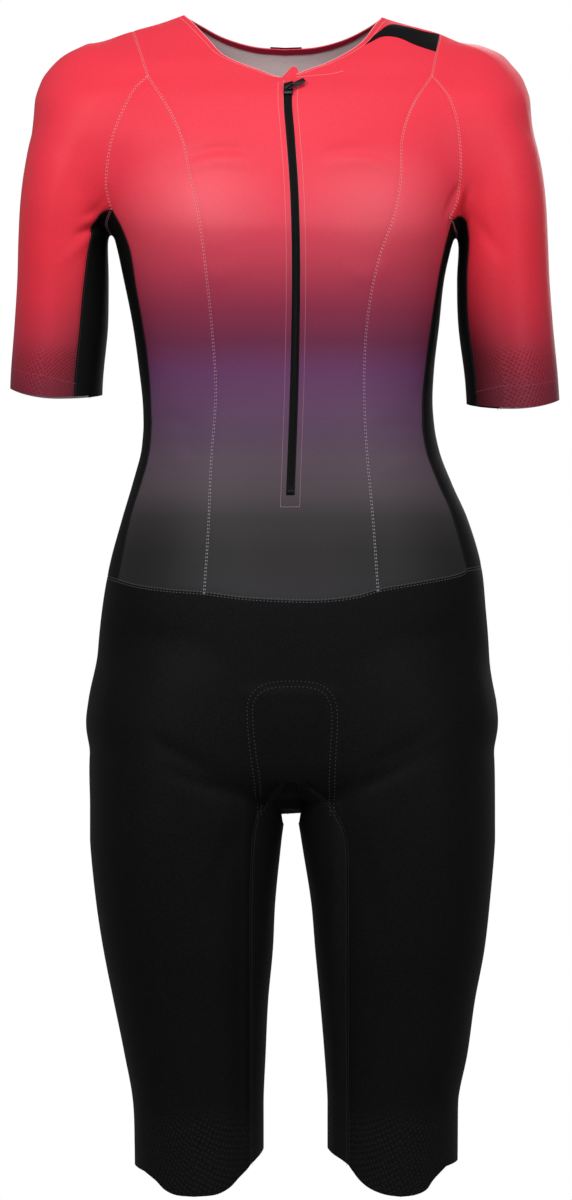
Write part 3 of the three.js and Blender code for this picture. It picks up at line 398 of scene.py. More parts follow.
# Smooth curve through the rows of a line, read at shares of its length
def curveThrough(rows, steps=40):
    p = np.array(rows, float)
    p = np.vstack([2 * p[0] - p[1], p, 2 * p[-1] - p[-2]])
    out = []
    s = np.linspace(0, 1, steps, endpoint=False)[:, None]
    for a, b, c, d in zip(p, p[1:], p[2:], p[3:]):
        pairs = ((a, b), (b, c), (c, d))
        before, own, after = (max(((q - r) ** 2).sum() ** 0.25, 1e-4) for q, r in pairs)
        t1 = ((b - a) / before - (c - a) / (before + own) + (c - b) / own) * own
        t2 = ((c - b) / own - (d - b) / (own + after) + (d - c) / after) * own
        square = -3 * b + 3 * c - 2 * t1 - t2
        cube = 2 * b - 2 * c + t1 + t2
        out.append(b + t1 * s + square * s ** 2 + cube * s ** 3)
    out.append(p[-2:-1])
    return np.vstack(out)


def runAlong(points):
    return np.concatenate([[0], np.cumsum(np.linalg.norm(np.diff(points, axis=0), axis=1))])


def readAt(points, shares):
    run = runAlong(points)
    at = np.asarray(shares) * run[-1]
    return np.stack([np.interp(at, run, points[:, k]) for k in range(points.shape[1])], axis=1)


def seamAt(name, side, shares):
    p = readAt(curveThrough(lines[name]), shares)
    return seenFrom(side, p[:, 0], p[:, 1])


def seam(name, side, count):
    return seamAt(name, side, np.linspace(0, 1, count + 1))


def lerp(a, b, t):
    return a + (b - a) * t


def ended(points, first, last):
    points[0] = first
    points[-1] = last
    return points


def waistRun(side, start, end, count):
    x = np.linspace(start[0], end[0], count + 1)
    z = sample(waist, x)[:, 1 if side == "front" else 2]
    return ended(seenFrom(side, x, z), start, end)


def levelRun(start, end, count, lift=0, aside=0):
    t = np.linspace(0, 1, count + 1)[:, None]
    swell = np.sin(np.pi * t[:, 0])
    p = lerp(start, end, t)
    p[:, 2] += lift * swell
    p[:, 0] += aside * swell
    return ended(toSurface(p), start, end)


# Surface between four runs: their blend, brought onto the figure
def patch(left, right, low, high):
    v = np.linspace(0, 1, len(left))[:, None, None]
    u = np.linspace(0, 1, len(low))[None, :, None]
    grid = left[:, None] * (1 - u) + right[:, None] * u + low[None] * (1 - v) + high[None] * v
    grid -= left[0] * (1 - u) * (1 - v) + right[0] * u * (1 - v)
    grid -= left[-1] * (1 - u) * v + right[-1] * u * v
    grid = toSurface(grid, 9)
    grid[:, 0] = left
    grid[:, -1] = right
    grid[0] = low
    grid[-1] = high
    return grid


# Zip slot and everything that comes once on each side
def slotEdge(shift, top):
    rows = [(x + shift, z) for x, z in lines["zip"]]
    rows[-1] = top
    rows[0] = (rows[0][0], sample(waist, np.array([rows[0][0]]))[0, 1])
    p = readAt(curveThrough(rows), np.linspace(0, 1, cells["torso"] + 1))
    return seenFrom("front", p[:, 0], p[:, 1])


slot = {
    "right": slotEdge(-slotHalf, lines["neckRight"][0]),
    "left": slotEdge(slotHalf, lines["neckLeft"][0]),
}


armpitDrop, armpitOut = -14, 10


def sideOf(name):
    word = name.capitalize()
    s = {"slot": slot[name]}
    s["neck"] = seam("neck" + word, "front", cells["yoke"])
    s["neck"][0] = s["slot"][-1]
    s["princess"] = seam("princess" + word, "front", cells["torso"])
    s["armholeTop"] = seam("armholeTop" + word, "front", cells["yoke"])
    s["armholeTop"][0] = s["princess"][-1]
    s["shoulder"] = seam("shoulder" + word, "front", cells["centre"])
    s["shoulder"] = ended(s["shoulder"], s["armholeTop"][-1], s["neck"][-1])
    s["flankFront"] = seam("flankFront" + word, "front", cells["torso"])
    s["armholeFront"] = seam("armholeFront" + word, "front", cells["side"])
    s["armholeFront"] = ended(s["armholeFront"], s["flankFront"][-1], s["princess"][-1])
    s["flankBack"] = seam("flankBack" + word, "back", cells["torso"])
    s["armholeBack"] = seam("armholeBack" + word, "back", cells["armholeBack"])
    s["armholeBack"] = ended(s["armholeBack"], s["flankBack"][-1], s["shoulder"][0])
    s["blade"] = seam("back" + word, "back", cells["torso"] + cells["armholeBack"])
    s["blade"][-1] = s["shoulder"][-1]
    s["nape"] = seam("nape" + word, "back", cells["nape"])
    s["nape"][-1] = s["shoulder"][-1]
    aside = -armpitOut if name == "right" else armpitOut
    s["armpit"] = levelRun(s["flankFront"][-1], s["flankBack"][-1], cells["flank"], armpitDrop, aside)
    s["waistCentre"] = waistRun("front", s["slot"][0], s["princess"][0], cells["centre"])
    s["waistSide"] = waistRun("front", s["princess"][0], s["flankFront"][0], cells["side"])
    s["waistFlank"] = levelRun(s["flankFront"][0], s["flankBack"][0], cells["flank"])
    s["waistBlade"] = waistRun("back", s["flankBack"][0], s["blade"][0], cells["centre"])
    return s


sides = {"right": sideOf("right"), "left": sideOf("left")}
backCentre = seam("backCentre", "back", cells["torso"] + cells["armholeBack"])
for s in sides.values():
    s["nape"][0] = backCentre[-1]
    s["waistNape"] = waistRun("back", s["blade"][0], backCentre[0], cells["nape"])
stageDone("seam lines")


def between(key, first=0, last=None):
    return np.stack([s[key][first:last] for s in sides.values()], axis=1)


panels = {"front_centre": [], "back_panel": []}
for name, s in sides.items():
    inner = np.vstack([s["slot"], s["neck"][1:]])
    outer = np.vstack([s["princess"], s["armholeTop"][1:]])
    s["front"] = patch(inner, outer, s["waistCentre"], s["shoulder"][::-1])
    s["frontSide"] = patch(s["princess"], s["flankFront"], s["waistSide"], s["armholeFront"][::-1])
    s["flank"] = patch(s["flankFront"], s["flankBack"], s["waistFlank"], s["armpit"])
    outer = np.vstack([s["flankBack"], s["armholeBack"][1:]])
    s["backOuter"] = patch(outer, s["blade"], s["waistBlade"], s["shoulder"])
    s["backInner"] = patch(s["blade"], backCentre, s["waistNape"], s["nape"][::-1])
    panels["front_centre"].append(s["front"])
    panels["front_side_" + name] = [s["frontSide"]]
    panels["side_panel_" + name] = [s["flank"]]
    panels["back_panel"] += [s["backOuter"], s["backInner"]]
footRow = 3 * tall
panels["front_centre"].append(between("slot", 0, footRow + 1))
tapeGrid = between("slot", footRow)


# Sleeve columns run from a point of the armhole over the arm to the hem
def turnBetween(a, b, t):
    angle = math.acos(max(-1, min(1, float(a @ b))))
    if angle < 1e-4:
        return np.repeat(b[None], len(t), axis=0)
    return unit(a * np.sin((1 - t) * angle)[:, None] + b * np.sin(t * angle)[:, None])


capMiddle = -62
capRound = 20


def sleeveColumn(name, start, bearing):
    inward = 1 if name == "right" else -1
    turn = math.radians(bearing)
    level = np.array([inward * math.cos(turn), math.sin(turn), 0])
    hem = sleeveHems[name]
    across = math.cos(turn)
    hemSide = hem["front"] if math.sin(turn) < 0 else hem["back"]
    hemEdge = hem["inner"] if across > 0 else hem["outer"]
    low = hemSide + (hemEdge - hemSide) * across * across
    high = min(start[2], capMiddle)
    t = np.linspace(0, 1, cells["sleeve"] + 1)

    def axisAt(z):
        s = sample(arms[name], np.minimum(z, capMiddle - capRound))
        return np.stack([(s[:, 1] + s[:, 2]) / 2, (s[:, 3] + s[:, 4]) / 2, z], axis=1)

    direction = unit(start - axisAt(np.array([high]))[0])
    # the front underarm seam turns later, so that the black panel starts as a narrow point
    later = 1 + 1.1 * math.exp(-((bearing - underarm[name]["front"]) / 22) ** 2)
    heading = turnBetween(direction, level, np.sin(np.minimum(1, t * 1.25) * math.pi / 2) ** later)
    column = rayOut(axisAt(high + (low - high) * t ** 2), heading)
    column[0] = start
    near = 2 * fine
    share = (np.arange(1, near) / near)[:, None]
    column[1:near] = toSurface(lerp(start, column[near], share))
    return column[::-1]


for name, s in sides.items():
    span = underarm[name]
    share = np.linspace(0, 1, cells["flank"] + 1)
    bearings = lerp(span["front"], span["back"], share)
    under = [sleeveColumn(name, p, bearing) for p, bearing in zip(s["armpit"], bearings)]
    around = np.vstack([s["armholeFront"], s["armholeTop"][1:], s["armholeBack"][::-1][1:]])
    total = span["front"] + 360 - span["back"]
    share = np.linspace(0, 1, len(around))
    upper = [sleeveColumn(name, p, span["front"] - total * t) for p, t in zip(around, share)]
    upper[0] = under[0]
    upper[-1] = under[-1]
    s["sleeveUnder"] = np.stack(under, axis=1)
    s["sleeve"] = np.stack(upper, axis=1)
    panels["sleeve_" + name] = [s["sleeve"]]
    panels["sleeve_underarm_" + name] = [s["sleeveUnder"]]
stageDone("top")

# Shorts: every line runs down from the waist seam to the hem
riseShare = 0.35
legShares = np.linspace(0, 1, cells["leg"] + 1) ** 1.35
riseShares = riseShare * np.arange(cells["rise"]) / cells["rise"]
downShares = np.concatenate([riseShares, riseShare + (1 - riseShare) * legShares])


def riseLine(side, top, foot):
    t = np.linspace(0, 1, cells["rise"] + 1)
    p = seenFrom(side, lerp(top[0], foot[0], t), lerp(top[2], foot[1], t))
    p[0] = top
    return p


# The two backs meet on one line, which opens only over the last part above the gusset
openPart = 0.08
backFoot = (np.array(lines["innerBackRight"][0]) + np.array(lines["innerBackLeft"][0])) / 2
closed = np.clip((1 - np.linspace(0, 1, cells["rise"] + 1)[:, None]) / openPart, 0, 1)
gussetDrop, gussetOut = -16, 9
hemDrop = {"flank": 3, "seat": -6, "seatInner": -5, "inner": 8}
panels["shorts_front"] = []
for name, s in sides.items():
    word = name.capitalize()
    for key, side, above in (
        ("legFront", "front", "princess"), ("legOuter", "front", "flankFront"),
        ("sideSeam", "back", "flankBack"), ("seat", "back", "blade"),
    ):
        s[key] = seamAt(key + word, side, downShares)
        s[key][0] = s[above][0]
    s["riseFront"] = riseLine("front", s["slot"][0], lines["innerFront" + word][0])
    s["innerFront"] = seamAt("innerFront" + word, "front", legShares)
    s["innerFront"][0] = s["riseFront"][-1]
    own = riseLine("back", backCentre[0], lines["innerBack" + word][0])
    s["riseBack"] = toSurface(lerp(own, riseLine("back", backCentre[0], backFoot), closed))
    s["riseBack"][[0, -1]] = own[[0, -1]]
    s["innerBack"] = seamAt("innerBack" + word, "back", legShares)
    s["innerBack"][0] = s["riseBack"][-1]
    front = np.vstack([s["riseFront"], s["innerFront"][1:]])
    back = np.vstack([s["riseBack"], s["innerBack"][1:]])
    centre = ended(seam("hemFront" + word, "front", cells["centre"]), front[-1], s["legFront"][-1])
    side = ended(seam("hemSide" + word, "front", cells["side"]), s["legFront"][-1], s["legOuter"][-1])
    flank = levelRun(s["legOuter"][-1], s["sideSeam"][-1], cells["flank"], hemDrop["flank"])
    seat = levelRun(s["sideSeam"][-1], s["seat"][-1], cells["centre"], hemDrop["seat"])
    seatInner = levelRun(s["seat"][-1], back[-1], cells["nape"], hemDrop["seatInner"])
    inner = levelRun(front[-1], back[-1], cells["gusset"], hemDrop["inner"])
    s["hem"] = np.vstack([centre, side[1:], flank[1:], seat[1:], seatInner[1:], inner[::-1][1:]])
    panels["shorts_front"] += [
        patch(front, s["legFront"], s["waistCentre"], centre),
        patch(s["legFront"], s["legOuter"], s["waistSide"], side),
        patch(s["legOuter"], s["sideSeam"], s["waistFlank"], flank),
    ]
    panels["shorts_back_" + name] = [
        patch(s["sideSeam"], s["seat"], s["waistBlade"], seat),
        patch(s["seat"], back, s["waistNape"], seatInner),
    ]
    aside = -gussetOut if name == "right" else gussetOut
    s["gusset"] = levelRun(s["innerFront"][0], s["innerBack"][0], cells["gusset"], gussetDrop, aside)
    panels["inner_leg_" + name] = [patch(s["innerFront"], s["innerBack"], s["gusset"], inner)]
openRows = int(np.sum(closed < 1)) + 1
panels["shorts_front"].append(between("riseFront"))
panels["crotch_gusset"] = [between("gusset"), between("riseBack", -openRows)]
stageDone("shorts")

# Seams that carry stitching, as runs of points on the figure
for s in sides.values():
    ring = [s["armholeFront"], s["armholeTop"][1:], s["armholeBack"][::-1][1:], s["armpit"][::-1][1:]]
    s["armhole"] = np.vstack(ring)
    s["underarmFront"] = s["sleeveUnder"][:, 0]
    s["underarmBack"] = s["sleeveUnder"][:, -1]
    waistKeys = ("waistCentre", "waistSide", "waistFlank", "waistBlade", "waistNape")
    s["waist"] = np.vstack([sides["right"]["waistCentre"][:1]] + [s[key][1:] for key in waistKeys])
seatRise = (sides["right"]["riseBack"] + sides["left"]["riseBack"]) / 2
redSeams = ("princess", "armhole")
sideSeams = ("flankFront", "flankBack", "underarmFront", "underarmBack")
shortSeams = ("sideSeam", "innerFront", "innerBack", "gusset")
seamKeys = redSeams + sideSeams + shortSeams + ("waist",)
seamRun = np.vstack([s[key] for s in sides.values() for key in seamKeys] + [seatRise])

# Creases: side seen, run in x and z, width and height in millimetres
creases = [
    ("front", [(-87, -119), (-58, -112), (-30, -114)], 4.5, -1.3),
    ("front", [(38, -114), (62, -112), (90, -119)], 4.5, -1.3),
    ("front", [(-92, -130), (-60, -123), (-26, -126)], 6, 1.3),
    ("front", [(36, -126), (66, -123), (94, -130)], 6, 1.3),
    ("front", [(-85, -212), (-60, -222), (-38, -214)], 9, 0.5),
    ("front", [(46, -214), (68, -222), (92, -212)], 9, 0.5),
    ("front", [(-182, -183), (-168, -177), (-155, -166)], 3, -1.9),
    ("front", [(-180, -174), (-167, -168), (-156, -156)], 3.5, 1.1),
    ("front", [(-176, -168), (-164, -160), (-154, -146)], 3, -0.8),
    ("front", [(-196, -208), (-178, -192), (-166, -180)], 5, 0.8),
    ("front", [(150, -142), (144, -154), (138, -168)], 2.4, -1.7),
    ("front", [(154, -144), (149, -157), (144, -171)], 2.6, 1.3),
    ("front", [(158, -146), (154, -160), (150, -176)], 2.4, -1.7),
    ("front", [(164, -150), (161, -164), (158, -182)], 3, 0.9),
    ("front", [(166, -170), (176, -186), (190, -204)], 5, -0.8),
    ("front", [(-226, -96), (-214, -84), (-206, -70)], 4, -0.5),
    ("front", [(214, -96), (206, -84), (198, -72)], 4, -0.5),
    ("front", [(-122, -350), (-100, -344), (-82, -350)], 8, -0.7),
    ("front", [(-124, -386), (-104, -376), (-84, -380)], 9, 0.7),
    ("front", [(124, -356), (104, -348), (84, -352)], 8, -0.6),
    ("front", [(130, -392), (110, -382), (88, -386)], 9, 0.7),
    ("front", [(-148, -520), (-120, -532), (-90, -536)], 11, -0.8),
    ("front", [(160, -516), (134, -530), (100, -536)], 11, -0.8),
    ("front", [(-60, -654), (-84, -640), (-118, -620)], 7, -1.2),
    ("front", [(-40, -672), (-66, -664), (-104, -648)], 7, -1.3),
    ("front", [(62, -664), (86, -654), (122, -634)], 7, -1.2),
    ("front", [(70, -646), (96, -634), (130, -612)], 7, -1.0),
    ("front", [(-44, -700), (-58, -740), (-62, -790)], 9, -1.0),
    ("front", [(60, -706), (72, -744), (78, -796)], 9, -0.9),
    ("front", [(-150, -560), (-156, -590), (-158, -620)], 8, 0.9),
    ("front", [(164, -556), (170, -590), (171, -622)], 8, 0.9),
    ("back", [(-70, -330), (-20, -342), (40, -336), (80, -326)], 10, -1.4),
    ("back", [(-84, -366), (-30, -380), (34, -376), (86, -362)], 11, -1.5),
    ("back", [(-60, -300), (0, -308), (58, -298)], 10, 1.0),
    ("back", [(-142, -176), (-118, -150), (-98, -110)], 9, -1.2),
    ("back", [(136, -178), (114, -150), (96, -112)], 9, -1.2),
    ("back", [(-110, -640), (-70, -662), (-30, -668)], 9, -1.5),
    ("back", [(118, -640), (78, -662), (36, -668)], 9, -1.5),
    ("back", [(-116, -672), (-74, -690), (-44, -700)], 8, -1.1),
    ("back", [(124, -672), (84, -690), (50, -700)], 8, -1.1),
]


def runDistance(x, z, run):
    best = np.full(len(x), 1e9)
    share = np.zeros(len(x))
    for k, (px, pz) in enumerate(run):
        d = np.hypot(x - px, z - pz)
        closer = d < best
        best[closer] = d[closer]
        share[closer] = k / (len(run) - 1)
    return best, share


def smoothStep(low, high, value):
    t = np.clip((value - low) / (high - low), 0, 1)
    return t * t * (3 - 2 * t)


# Heights in millimetres and places of the relief that isn't a crease
creaseGain = 1.4
padSwell = {"height": 1.3, "middle": 4, "half": (46, 38), "top": (-572, -584)}
crotchLift = {"height": 10, "half": 15, "span": (-712, -660)}
wave = {"height": 0.35, "across": 0.045, "along": 0.031, "turn": 0.02}
seamDepth, seamWidth = 0.3, 2.6


def relief(p, n):
    x, y, z = p.T
    out = np.zeros(len(p))
    for side, rows, width, height in creases:
        run = curveThrough(rows, 8)
        low = run.min(0) - 3 * width
        high = run.max(0) + 3 * width
        m = (x > low[0]) & (x < high[0]) & (z > low[1]) & (z < high[1])
        m &= (n[:, 1] < 0.1) if side == "front" else (n[:, 1] > -0.1)
        if m.any():
            d, share = runDistance(x[m], z[m], run)
            ends = np.sqrt(np.sin(np.pi * np.clip(share, 0.03, 0.97)))
            out[m] += creaseGain * height * np.exp(-(d / width) ** 2) * ends
    aside = np.abs(x - padSwell["middle"])
    m = (aside < 60) & (z < -560) & (n[:, 1] < 0.3)
    inside = smoothStep(*padSwell["half"], aside) * smoothStep(*padSwell["top"], z) * m
    out += padSwell["height"] * inside
    low, high = crotchLift["span"]
    arch = np.exp(-((x - padMiddle) / crotchLift["half"]) ** 2) * smoothStep(-0.25, -0.8, n[:, 2])
    out -= crotchLift["height"] * (arch * (z > low) * (z < high))
    ripple = np.sin(x * wave["across"] + 1.3) * np.sin(z * wave["along"] + y * wave["turn"])
    out += wave["height"] * ripple * smoothStep(-480, -520, z)
    return out


# Distance to the nearest seam, found through a coarse grid of buckets
def seamDistance(p, bucket=6.0):
    keys = {}
    for k, cell in enumerate(map(tuple, np.floor(seamRun / bucket).astype(int))):
        keys.setdefault(cell, []).append(k)
    out = np.full(len(p), 99.0)
    own = np.floor(p / bucket).astype(int)
    order = np.lexsort(own.T)
    cuts = np.flatnonzero(np.any(np.diff(own[order], axis=0), axis=1)) + 1
    for block in np.split(order, cuts):
        x, y, z = own[block[0]]
        near = []
        for a in (-1, 0, 1):
            for b in (-1, 0, 1):
                for c in (-1, 0, 1):
                    near += keys.get((x + a, y + b, z + c), [])
        if near:
            d = np.linalg.norm(p[block][:, None] - seamRun[near][None], axis=2)
            out[block] = d.min(1)
    return out


def lifted(p, n):
    return relief(p, n) - seamDepth * np.exp(-(seamDistance(p) / seamWidth) ** 2)


# Grids of points as one mesh with shared edges, and UVs as lengths along the cloth
def weld(grids):
    points = []
    quads = []
    corners = []
    count = 0
    for grid in grids:
        rows, columns = grid.shape[:2]
        flat = grid.reshape(-1, 3)
        index = np.arange(rows * columns).reshape(rows, columns)
        around = [index[:-1, :-1], index[:-1, 1:], index[1:, 1:], index[1:, :-1]]
        q = np.stack(around, axis=-1).reshape(-1, 4)
        cross = np.cross(flat[q[:, 2]] - flat[q[:, 0]], flat[q[:, 3]] - flat[q[:, 1]])
        if (cross * normalAt(flat[q[:, 0]])).sum() < 0:
            q = q[:, ::-1]
        u, v = runAlong(grid[rows // 2]), runAlong(grid[:, columns // 2])
        uv = np.stack(np.meshgrid(u, v), axis=-1).reshape(-1, 2)
        points.append(flat)
        quads.append(q + count)
        corners.append(uv[q])
        count += len(flat)
    points = np.vstack(points)
    rounded = np.round(points * 100).astype(int)
    _, first, back = np.unique(rounded, axis=0, return_index=True, return_inverse=True)
    return points[first], back.reshape(-1)[np.vstack(quads)], np.vstack(corners) * mm


# Cloth of a given wall on the figure: outer face, inner face and a rim, each seam edge drawn in
def shell(name, nodeName, grids, looks, outer=0.0, wall=clothWall):
    points, quads, corners = weld(grids)
    normals = normalAt(points)
    sidesOf = np.concatenate([quads[:, [k, (k + 1) % 4]] for k in range(4)])
    sidesOf = sidesOf[sidesOf[:, 0] != sidesOf[:, 1]]
    keys = np.sort(sidesOf, axis=1)
    _, inverse, counts = np.unique(keys, axis=0, return_inverse=True, return_counts=True)
    rim = sidesOf[counts[inverse.reshape(-1)] == 1]
    pull = np.zeros_like(points)
    along = unit(points[rim[:, 1]] - points[rim[:, 0]])
    for k in range(2):
        np.add.at(pull, rim[:, k], unit(np.cross(normals[rim[:, k]], along)))
    atRim = np.linalg.norm(pull, axis=1, keepdims=True) > 1e-6
    placed = points + unit(pull) * seamInset * atRim
    height = outer + lifted(points, normals)
    top = placed + normals * height[:, None]
    thick = wall(points) if callable(wall) else wall
    under = top - normals * thick
    count = len(points)
    faces = []
    uvs = []
    for q, c in zip(quads.tolist(), corners):
        keep = [k for k in range(4) if q[k] != q[(k + 1) % 4]]
        if len(keep) > 2:
            faces.append([q[k] for k in keep])
            uvs.extend(c[k] for k in keep)
    topCount = len(faces)
    spans = np.cumsum([0] + [len(f) for f in faces])
    for f, start in zip(faces[:topCount], spans):
        faces.append([i + count for i in reversed(f)])
        uvs.extend(uvs[start + len(f) - 1 - k] for k in range(len(f)))
    for a, b in rim.tolist():
        faces.append([b, a, a + count, b + count])
        uvs.extend([uvs[0]] * 4)
    mesh = bpy.data.meshes.new(name)
    mesh.from_pydata((np.vstack([top, under]) * mm).tolist(), [], faces)
    layer = mesh.uv_layers.new(name="cloth")
    layer.data.foreach_set("uv", np.array(uvs, np.float32).reshape(-1))
    mesh.shade_smooth()
    mesh.set_sharp_from_angle(angle=math.radians(50))
    made = bpy.data.objects.new(name, mesh)
    scene.collection.objects.link(made)
    for look in looks:
        mesh.materials.append(materials[look])
    if len(looks) > 1:
        inner = np.zeros(len(mesh.polygons), np.int32)
        inner[topCount:2 * topCount] = 1
        mesh.polygons.foreach_set("material_index", inner)
    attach(made, "suit")
    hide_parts(nodeName)
    return made


# Materials: sRGB hex codes as linear colour, and nodes by one small function
def linear(code):
    values = [int(code[k:k + 2], 16) / 255 for k in (1, 3, 5)]
    out = [v / 12.92 if v <= 0.04045 else ((v + 0.055) / 1.055) ** 2.4 for v in values]
    return (*out, 1)


def feed(tree, socket, value):
    if isinstance(value, bpy.types.NodeSocket):
        tree.links.new(value, socket)
    else:
        socket.default_value = value


def node(tree, kind, settings=None, **inputs):
    made = tree.nodes.new(kind)
    for key, value in (settings or {}).items():
        setattr(made, key, value)
    for key, value in inputs.items():
        feed(tree, made.inputs[key.replace("_", " ")], value)
    return made


def calc(tree, operation, *values):
    made = node(tree, "ShaderNodeMath", {"operation": operation})
    for socket, value in zip(made.inputs, values):
        feed(tree, socket, value)
    return made.outputs[0]


def mapped(tree, value, fromLow, fromHigh, toLow=0.0, toHigh=1.0):
    return node(
        tree, "ShaderNodeMapRange", Value=value, From_Min=fromLow, From_Max=fromHigh, To_Min=toLow,
        To_Max=toHigh,
    ).outputs["Result"]


def objectPlace(tree):
    return tree.nodes.new("ShaderNodeTexCoord").outputs["Object"]


def objectAxes(tree):
    return node(tree, "ShaderNodeSeparateXYZ", Vector=objectPlace(tree)).outputs


def noise(tree, scale, detail):
    made = node(tree, "ShaderNodeTexNoise", Vector=objectPlace(tree), Scale=scale, Detail=detail)
    return made.outputs["Fac"]


def ramp(tree, factor, stops):
    made = tree.nodes.new("ShaderNodeValToRGB")
    tree.links.new(factor, made.inputs["Fac"])
    elements = made.color_ramp.elements
    while len(elements) < len(stops):
        elements.new(0.5)
    for element, (place, code) in zip(elements, sorted(stops)):
        element.position = place
        element.color = linear(code)
    return made.outputs["Color"]


# Colour by height: stops of z in millimetres and a code
def heightRamp(tree, stops, low, high):
    factor = mapped(tree, objectAxes(tree)["Z"], low * mm, high * mm)
    return ramp(tree, factor, [((z - low) / (high - low), code) for z, code in stops])


def mixColour(tree, kind, factor, a, b):
    made = node(tree, "ShaderNodeMix", {"data_type": "RGBA", "blend_type": kind, "clamp_factor": True})
    for index, value in ((0, factor), (6, a), (7, b)):
        feed(tree, made.inputs[index], value)
    return made.outputs[2]


def newMaterial(name):
    made = bpy.data.materials.new(name)
    made.use_nodes = True
    return made, made.node_tree


def surface(made, **inputs):
    shader = made.node_tree.nodes["Principled BSDF"]
    for key, value in inputs.items():
        feed(made.node_tree, shader.inputs[key.replace("_", " ")], value)
    return made


def bumped(tree, height, strength, depth, **inputs):
    made = node(tree, "ShaderNodeBump", Strength=strength, Distance=depth, Height=height, **inputs)
    return made.outputs["Normal"]


def clothPlace(tree):
    return node(tree, "ShaderNodeUVMap", {"uv_map": "cloth"}).outputs["UV"]


# Knitted face: fine ribs along the cloth and small loops across them
def knitBump(tree, rib=0.0011, strength=0.25, depth=0.00012):
    waves = []
    for axis, width, turning in (("X", rib, 1.0), ("Y", rib * 0.8, 1.5)):
        waves.append(node(
            tree, "ShaderNodeTexWave", {"wave_type": "BANDS", "bands_direction": axis},
            Vector=clothPlace(tree), Scale=0.31 / width, Distortion=turning, Detail=1.0,
        ).outputs["Fac"])
    return bumped(tree, calc(tree, "ADD", *waves), strength, depth)


# Painted shade, darkening the colour sideways as it goes down: across and down are spans in metres
def paintedShadeMix(tree, colour, across, down, most, code):
    axes = objectAxes(tree)
    wide = mapped(tree, calc(tree, "ABSOLUTE", axes["X"]), *across)
    both = calc(tree, "MULTIPLY", wide, mapped(tree, axes["Z"], *down))
    return mixColour(tree, "MIX", mapped(tree, both, 0, 1, 0, most), colour, linear(code))


# Painted shade on the sleeves, darker towards the underarm and towards the hem
def cuffPaintedShade(tree, colour):
    return paintedShadeMix(tree, colour, (0.205, 0.160), (-0.19, -0.285), 0.8, "#120608")


# Painted highlight: a pale pink glow over the chest, and painted shade at the lower sides of the torso
def torsoHighlightAndShade(tree, colour):
    axes = objectAxes(tree)
    place = node(
        tree, "ShaderNodeCombineXYZ",
        X=mapped(tree, calc(tree, "ABSOLUTE", axes["X"]), 0.0, 0.15, -1, 1),
        Y=mapped(tree, axes["Y"], -0.04, 0.02), Z=mapped(tree, axes["Z"], -0.2, -0.105, -1, 1),
    )
    away = node(tree, "ShaderNodeVectorMath", {"operation": "LENGTH"}, Vector=place.outputs[0])
    # Painted highlight: pale pink mixed into the colour over the chest, where the light falls
    paintedHighlight = mapped(tree, away.outputs["Value"], 1, 0.1, 0, 0.17)
    withHighlight = mixColour(tree, "MIX", paintedHighlight, colour, linear("#ff9ba0"))
    # Painted shade: the lower torso darkens towards its sides
    return paintedShadeMix(tree, withHighlight, (0.035, 0.105), (-0.40, -0.46), 0.45, "#0b0a0b")


# Raised silicone grip: small staggered dots that begin at one height and are full at the next
def gripDots(tree, normal, start, full, pitch=0.0036, push=0.0004):
    turned = node(tree, "ShaderNodeMapping", Vector=clothPlace(tree), Rotation=(0, 0, math.radians(30)))
    spots = node(
        tree, "ShaderNodeTexVoronoi", Vector=turned.outputs["Vector"], Scale=1 / pitch, Randomness=0.2,
    )
    dots = mapped(tree, spots.outputs["Distance"], 0.42, 0.22)
    height = calc(tree, "MULTIPLY", dots, mapped(tree, objectAxes(tree)["Z"], start * mm, full * mm))
    return bumped(tree, height, 0.9, push, Normal=normal), height


# Polyester knit with a dye-sublimated fade: satin face, clouded a little by the print
def fadedKnit(name, stops, low, high, shade=None, grip=False):
    made, tree = newMaterial(name)
    tone = mapped(tree, noise(tree, 14.0, 2.0), 0, 1, 0.94, 1.06)
    grain = mapped(tree, noise(tree, 900.0, 1.0), 0, 1, 0.9, 1.1)
    both = calc(tree, "MULTIPLY", tone, grain)
    grey = node(tree, "ShaderNodeCombineXYZ", X=both, Y=both, Z=both).outputs[0]
    colour = mixColour(tree, "MULTIPLY", 1.0, heightRamp(tree, stops, low, high), grey)
    if shade:
        colour = shade(tree, colour)
    normal = knitBump(tree)
    if grip:
        normal, raised = gripDots(tree, normal, -276, -290)
        dark = mapped(tree, raised, 0, 1, 0, 0.3)
        colour = mixColour(tree, "MULTIPLY", dark, colour, linear("#a08088"))
    return surface(made, Base_Color=colour, Roughness=0.44, Specular_IOR_Level=0.16, Normal=normal)


# Noise between a colour and a slightly lighter one
def mottled(tree, code, scale, detail, share):
    fac = noise(tree, scale, detail)
    return ramp(tree, fac, [(0.3, code), (share, lighter(code))]), fac


# Black compression knit: close, smooth face with a dull sheen
def blackKnit(name, code, rough=0.6, grip=False):
    made, tree = newMaterial(name)
    colour, _ = mottled(tree, code, 700.0, 1.0, 0.75)
    normal = knitBump(tree, 0.0009, 0.3)
    if grip:
        normal, raised = gripDots(tree, normal, -942, -962, 0.0045)
        colour = mixColour(tree, "MIX", raised, colour, linear("#161516"))
    return surface(made, Base_Color=colour, Roughness=rough, Specular_IOR_Level=0.09, Normal=normal)


def lighter(code):
    values = [min(255, int(code[k:k + 2], 16) + 10) for k in (1, 3, 5)]
    return "#" + "".join("%02x" % v for v in values)


# Polyester sewing thread: small round strands with a soft gloss
def thread(name, stops):
    made, tree = newMaterial(name)
    return surface(made, Base_Color=heightRamp(tree, stops, -520, 20), Roughness=0.5)


# Moulded nylon of the zip's coil and pull tab
def nylon(name, code, rough, gloss):
    made, tree = newMaterial(name)
    colour, grain = mottled(tree, code, 1800.0, 2.0, 0.8)
    normal = bumped(tree, grain, 0.15, 0.00005)
    return surface(made, Base_Color=colour, Roughness=rough, Specular_IOR_Level=gloss, Normal=normal)


